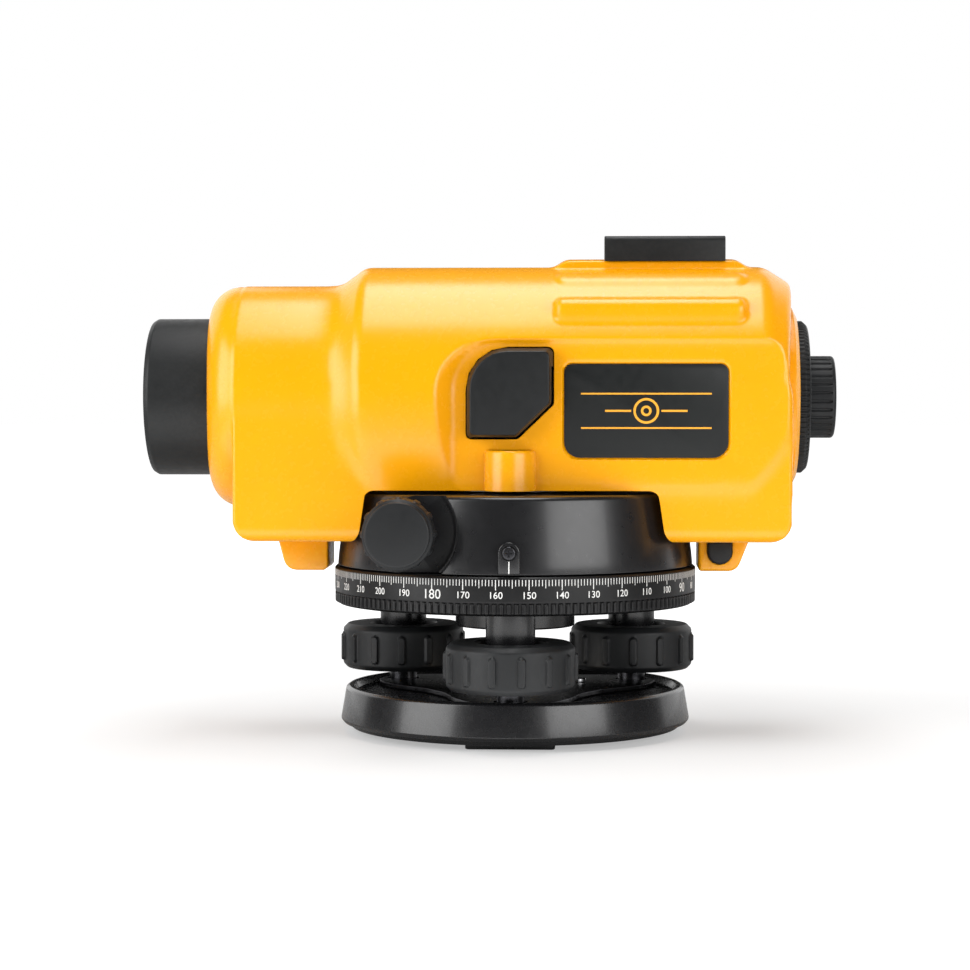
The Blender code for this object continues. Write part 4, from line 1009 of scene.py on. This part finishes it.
def spring_plate():
    """A plate with a lobe towards each foot."""
    edge = []
    for i in range(180):
        angle = TAU * i / 180
        swell = (1 + math.cos(3 * (angle + math.pi / 2))) / 2
        radius = 27.0 + 20.6 * swell**1.4
        edge.append((radius * math.cos(angle), radius * math.sin(angle)))
    plate = slab("lobed_spring", edge, 11.9, 13.3, "dark_steel", "Z", back=0.3, front=0.2)
    holes = [drill(17.0, 10, 16, "Z", (0, 0, 0), 72)]
    holes += [drill(5.1, 10, 16, "Z", (*foot_place(side), 0), 36) for side in FEET]
    head = rounded([(0, 14.6), (2.6, 14.6, 0.7), (2.6, 13.6), (1.3, 13.6), (1.3, 11.8), (0, 11.8)])
    for i, angle in enumerate(FEET.values()):
        x, y = 22.0 * math.cos(math.radians(angle)), 22.0 * math.sin(math.radians(angle))
        holes.append(drill(1.6, 10, 16, "Z", (x, y, 0), 24))
        screw = turned(f"spring_screw_{i + 1}", head, "steel", at=(x, y, 0), steps=40)
        combine(screw, cross_slot("Z", (x, y, 14.6)))
        part(screw, "base", f"spring_plate_screw_{i + 1}", slot="steel")
    combine(plate, holes)
    part(plate, "base", "spring_plate", slot="steel")


# ---- CAD nodes that stay, hidden inside or behind ----

KEPT = {
    "steel": ("vertical_axis", "friction_washer", "worm_shaft", "focus_pinion"),
    "brass": ("worm_wheel", "bearing_bush", "focusing_cell", "compensator_pendulum"),
    "aluminium": ("telescope_chassis", "compensator_frame", "eyepiece_barrel"),
    "glass": ("focusing_lens", "pendulum_prism", "reticle", "eye_lens"),
    "mirror": ("bubble_mirror",),
}


def dress_kept_nodes():
    for look, names in KEPT.items():
        for name in names:
            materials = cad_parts[name].data.materials
            materials.clear()
            materials.append(FINISH[look])


# ---- studio ----

AMBIENT = 0.08
FLOOR_GLOW = (0.4, 1.0)      # near the instrument and away from it
FLOOR_HALF, FLOOR_Z = 6.0, -0.0002
CAMERA_FROM = (25.3, -793.0, 105.2)
CAMERA_TO = (-9.2, 0.0, 74.7)


def softbox(name, at, to, width, height, radiance):
    """A soft light that faces the point, with its brightness as seen in a mirror."""
    data = bpy.data.lights.new(name, "AREA")
    data.shape = "RECTANGLE"
    data.size, data.size_y = width, height
    data.energy = radiance * math.pi * width * height
    lamp = linked(name, data)
    lamp.visible_camera = False
    lamp.location = at
    lamp.rotation_euler = (Vector(to) - Vector(at)).to_track_quat("-Z", "Y").to_euler()


def around(name, azimuth, width, height, radiance):
    """An upright softbox a metre away, its azimuth in degrees from the front to the eyepiece's side."""
    turn = math.radians(azimuth)
    softbox(name, (math.sin(turn), -math.cos(turn), 0.3), (0.0, 0.0, 0.09), width, height, radiance)


def floor():
    """A pale floor that grows white away from the instrument."""
    material, tree, shader = nodes_of("studio_floor")
    tone = ranged(tree, noise(tree, 3.0), 0.0, 1.0)
    wire(tree, mixed(tree, tone, (0.5, 0.5, 0.5), (0.52, 0.52, 0.52)), shader.inputs["Base Color"])
    shader.inputs["Roughness"].default_value = 0.9
    coords = tree.nodes.new("ShaderNodeTexCoord")
    length = tree.nodes.new("ShaderNodeVectorMath")
    length.operation = "LENGTH"
    wire(tree, coords.outputs["Object"], length.inputs[0])
    glow = ranged(tree, length.outputs["Value"], *FLOOR_GLOW, 0.12, 0.6)
    path = tree.nodes.new("ShaderNodeLightPath")
    seen = tree.nodes.new("ShaderNodeMath")
    seen.operation = "MULTIPLY"
    wire(tree, glow, seen.inputs[0])
    wire(tree, path.outputs["Is Camera Ray"], seen.inputs[1])
    shader.inputs["Emission Color"].default_value = (1, 1, 1, 1)
    wire(tree, seen.outputs["Value"], shader.inputs["Emission Strength"])
    mesh = bpy.data.meshes.new("floor")
    corners = rectangle(-FLOOR_HALF, -FLOOR_HALF, FLOOR_HALF, FLOOR_HALF)
    mesh.from_pydata([(x, y, FLOOR_Z) for x, y in corners], [], [(0, 1, 2, 3)])
    mesh.materials.append(material)
    linked("floor", mesh)


def backdrop():
    """A white background that gives the instrument only a little of its light."""
    world = bpy.data.worlds.new("studio")
    bpy.context.scene.world = world
    world.use_nodes = True
    tree = world.node_tree
    dim = tree.nodes["Background"]
    white = tree.nodes.new("ShaderNodeBackground")
    for background, strength in ((dim, AMBIENT), (white, 1.0)):
        background.inputs["Color"].default_value = (1, 1, 1, 1)
        background.inputs["Strength"].default_value = strength
    path = tree.nodes.new("ShaderNodeLightPath")
    mix = tree.nodes.new("ShaderNodeMixShader")
    wire(tree, path.outputs["Is Camera Ray"], mix.inputs[0])
    wire(tree, dim.outputs["Background"], mix.inputs[1])
    wire(tree, white.outputs["Background"], mix.inputs[2])
    wire(tree, mix.outputs["Shader"], tree.nodes["World Output"].inputs["Surface"])


def studio():
    bpy.context.scene.view_settings.view_transform = "Standard"
    floor()
    backdrop()
    softbox("overhead", (0.0, 0.0, 1.05), (0.0, 0.0, 0.09), 0.42, 0.95, 6.0)
    around("left", -58.0, 0.72, 1.1, 4.7)
    around("right", 43.0, 0.74, 0.42, 5.0)
    around("back_left", -140.0, 1.0, 1.1, 1.2)
    around("back_right", 140.0, 1.0, 1.1, 1.2)
    softbox("bounce", (0.0, -0.17, 0.001), (0.0, -0.17, 1.0), 0.5, 0.22, 1.4)


def camera():
    data = bpy.data.cameras.new("camera")
    data.lens = 96.5
    data.sensor_width = 36.0
    obj = linked("camera", data)
    eye, aim = (Vector(place([p])[0]) for p in (CAMERA_FROM, CAMERA_TO))
    obj.location = eye
    obj.rotation_euler = (aim - eye).to_track_quat("-Z", "Y").to_euler()
    bpy.context.scene.camera = obj


housing()
housing_fittings()
open_sight()
bubble_level()
name_plate()
telescope()
focus_knob()
drum()
index_mark()
circle()
foot_screws()
tribrach()
base()
spring_plate()
dress_kept_nodes()
studio()
camera()
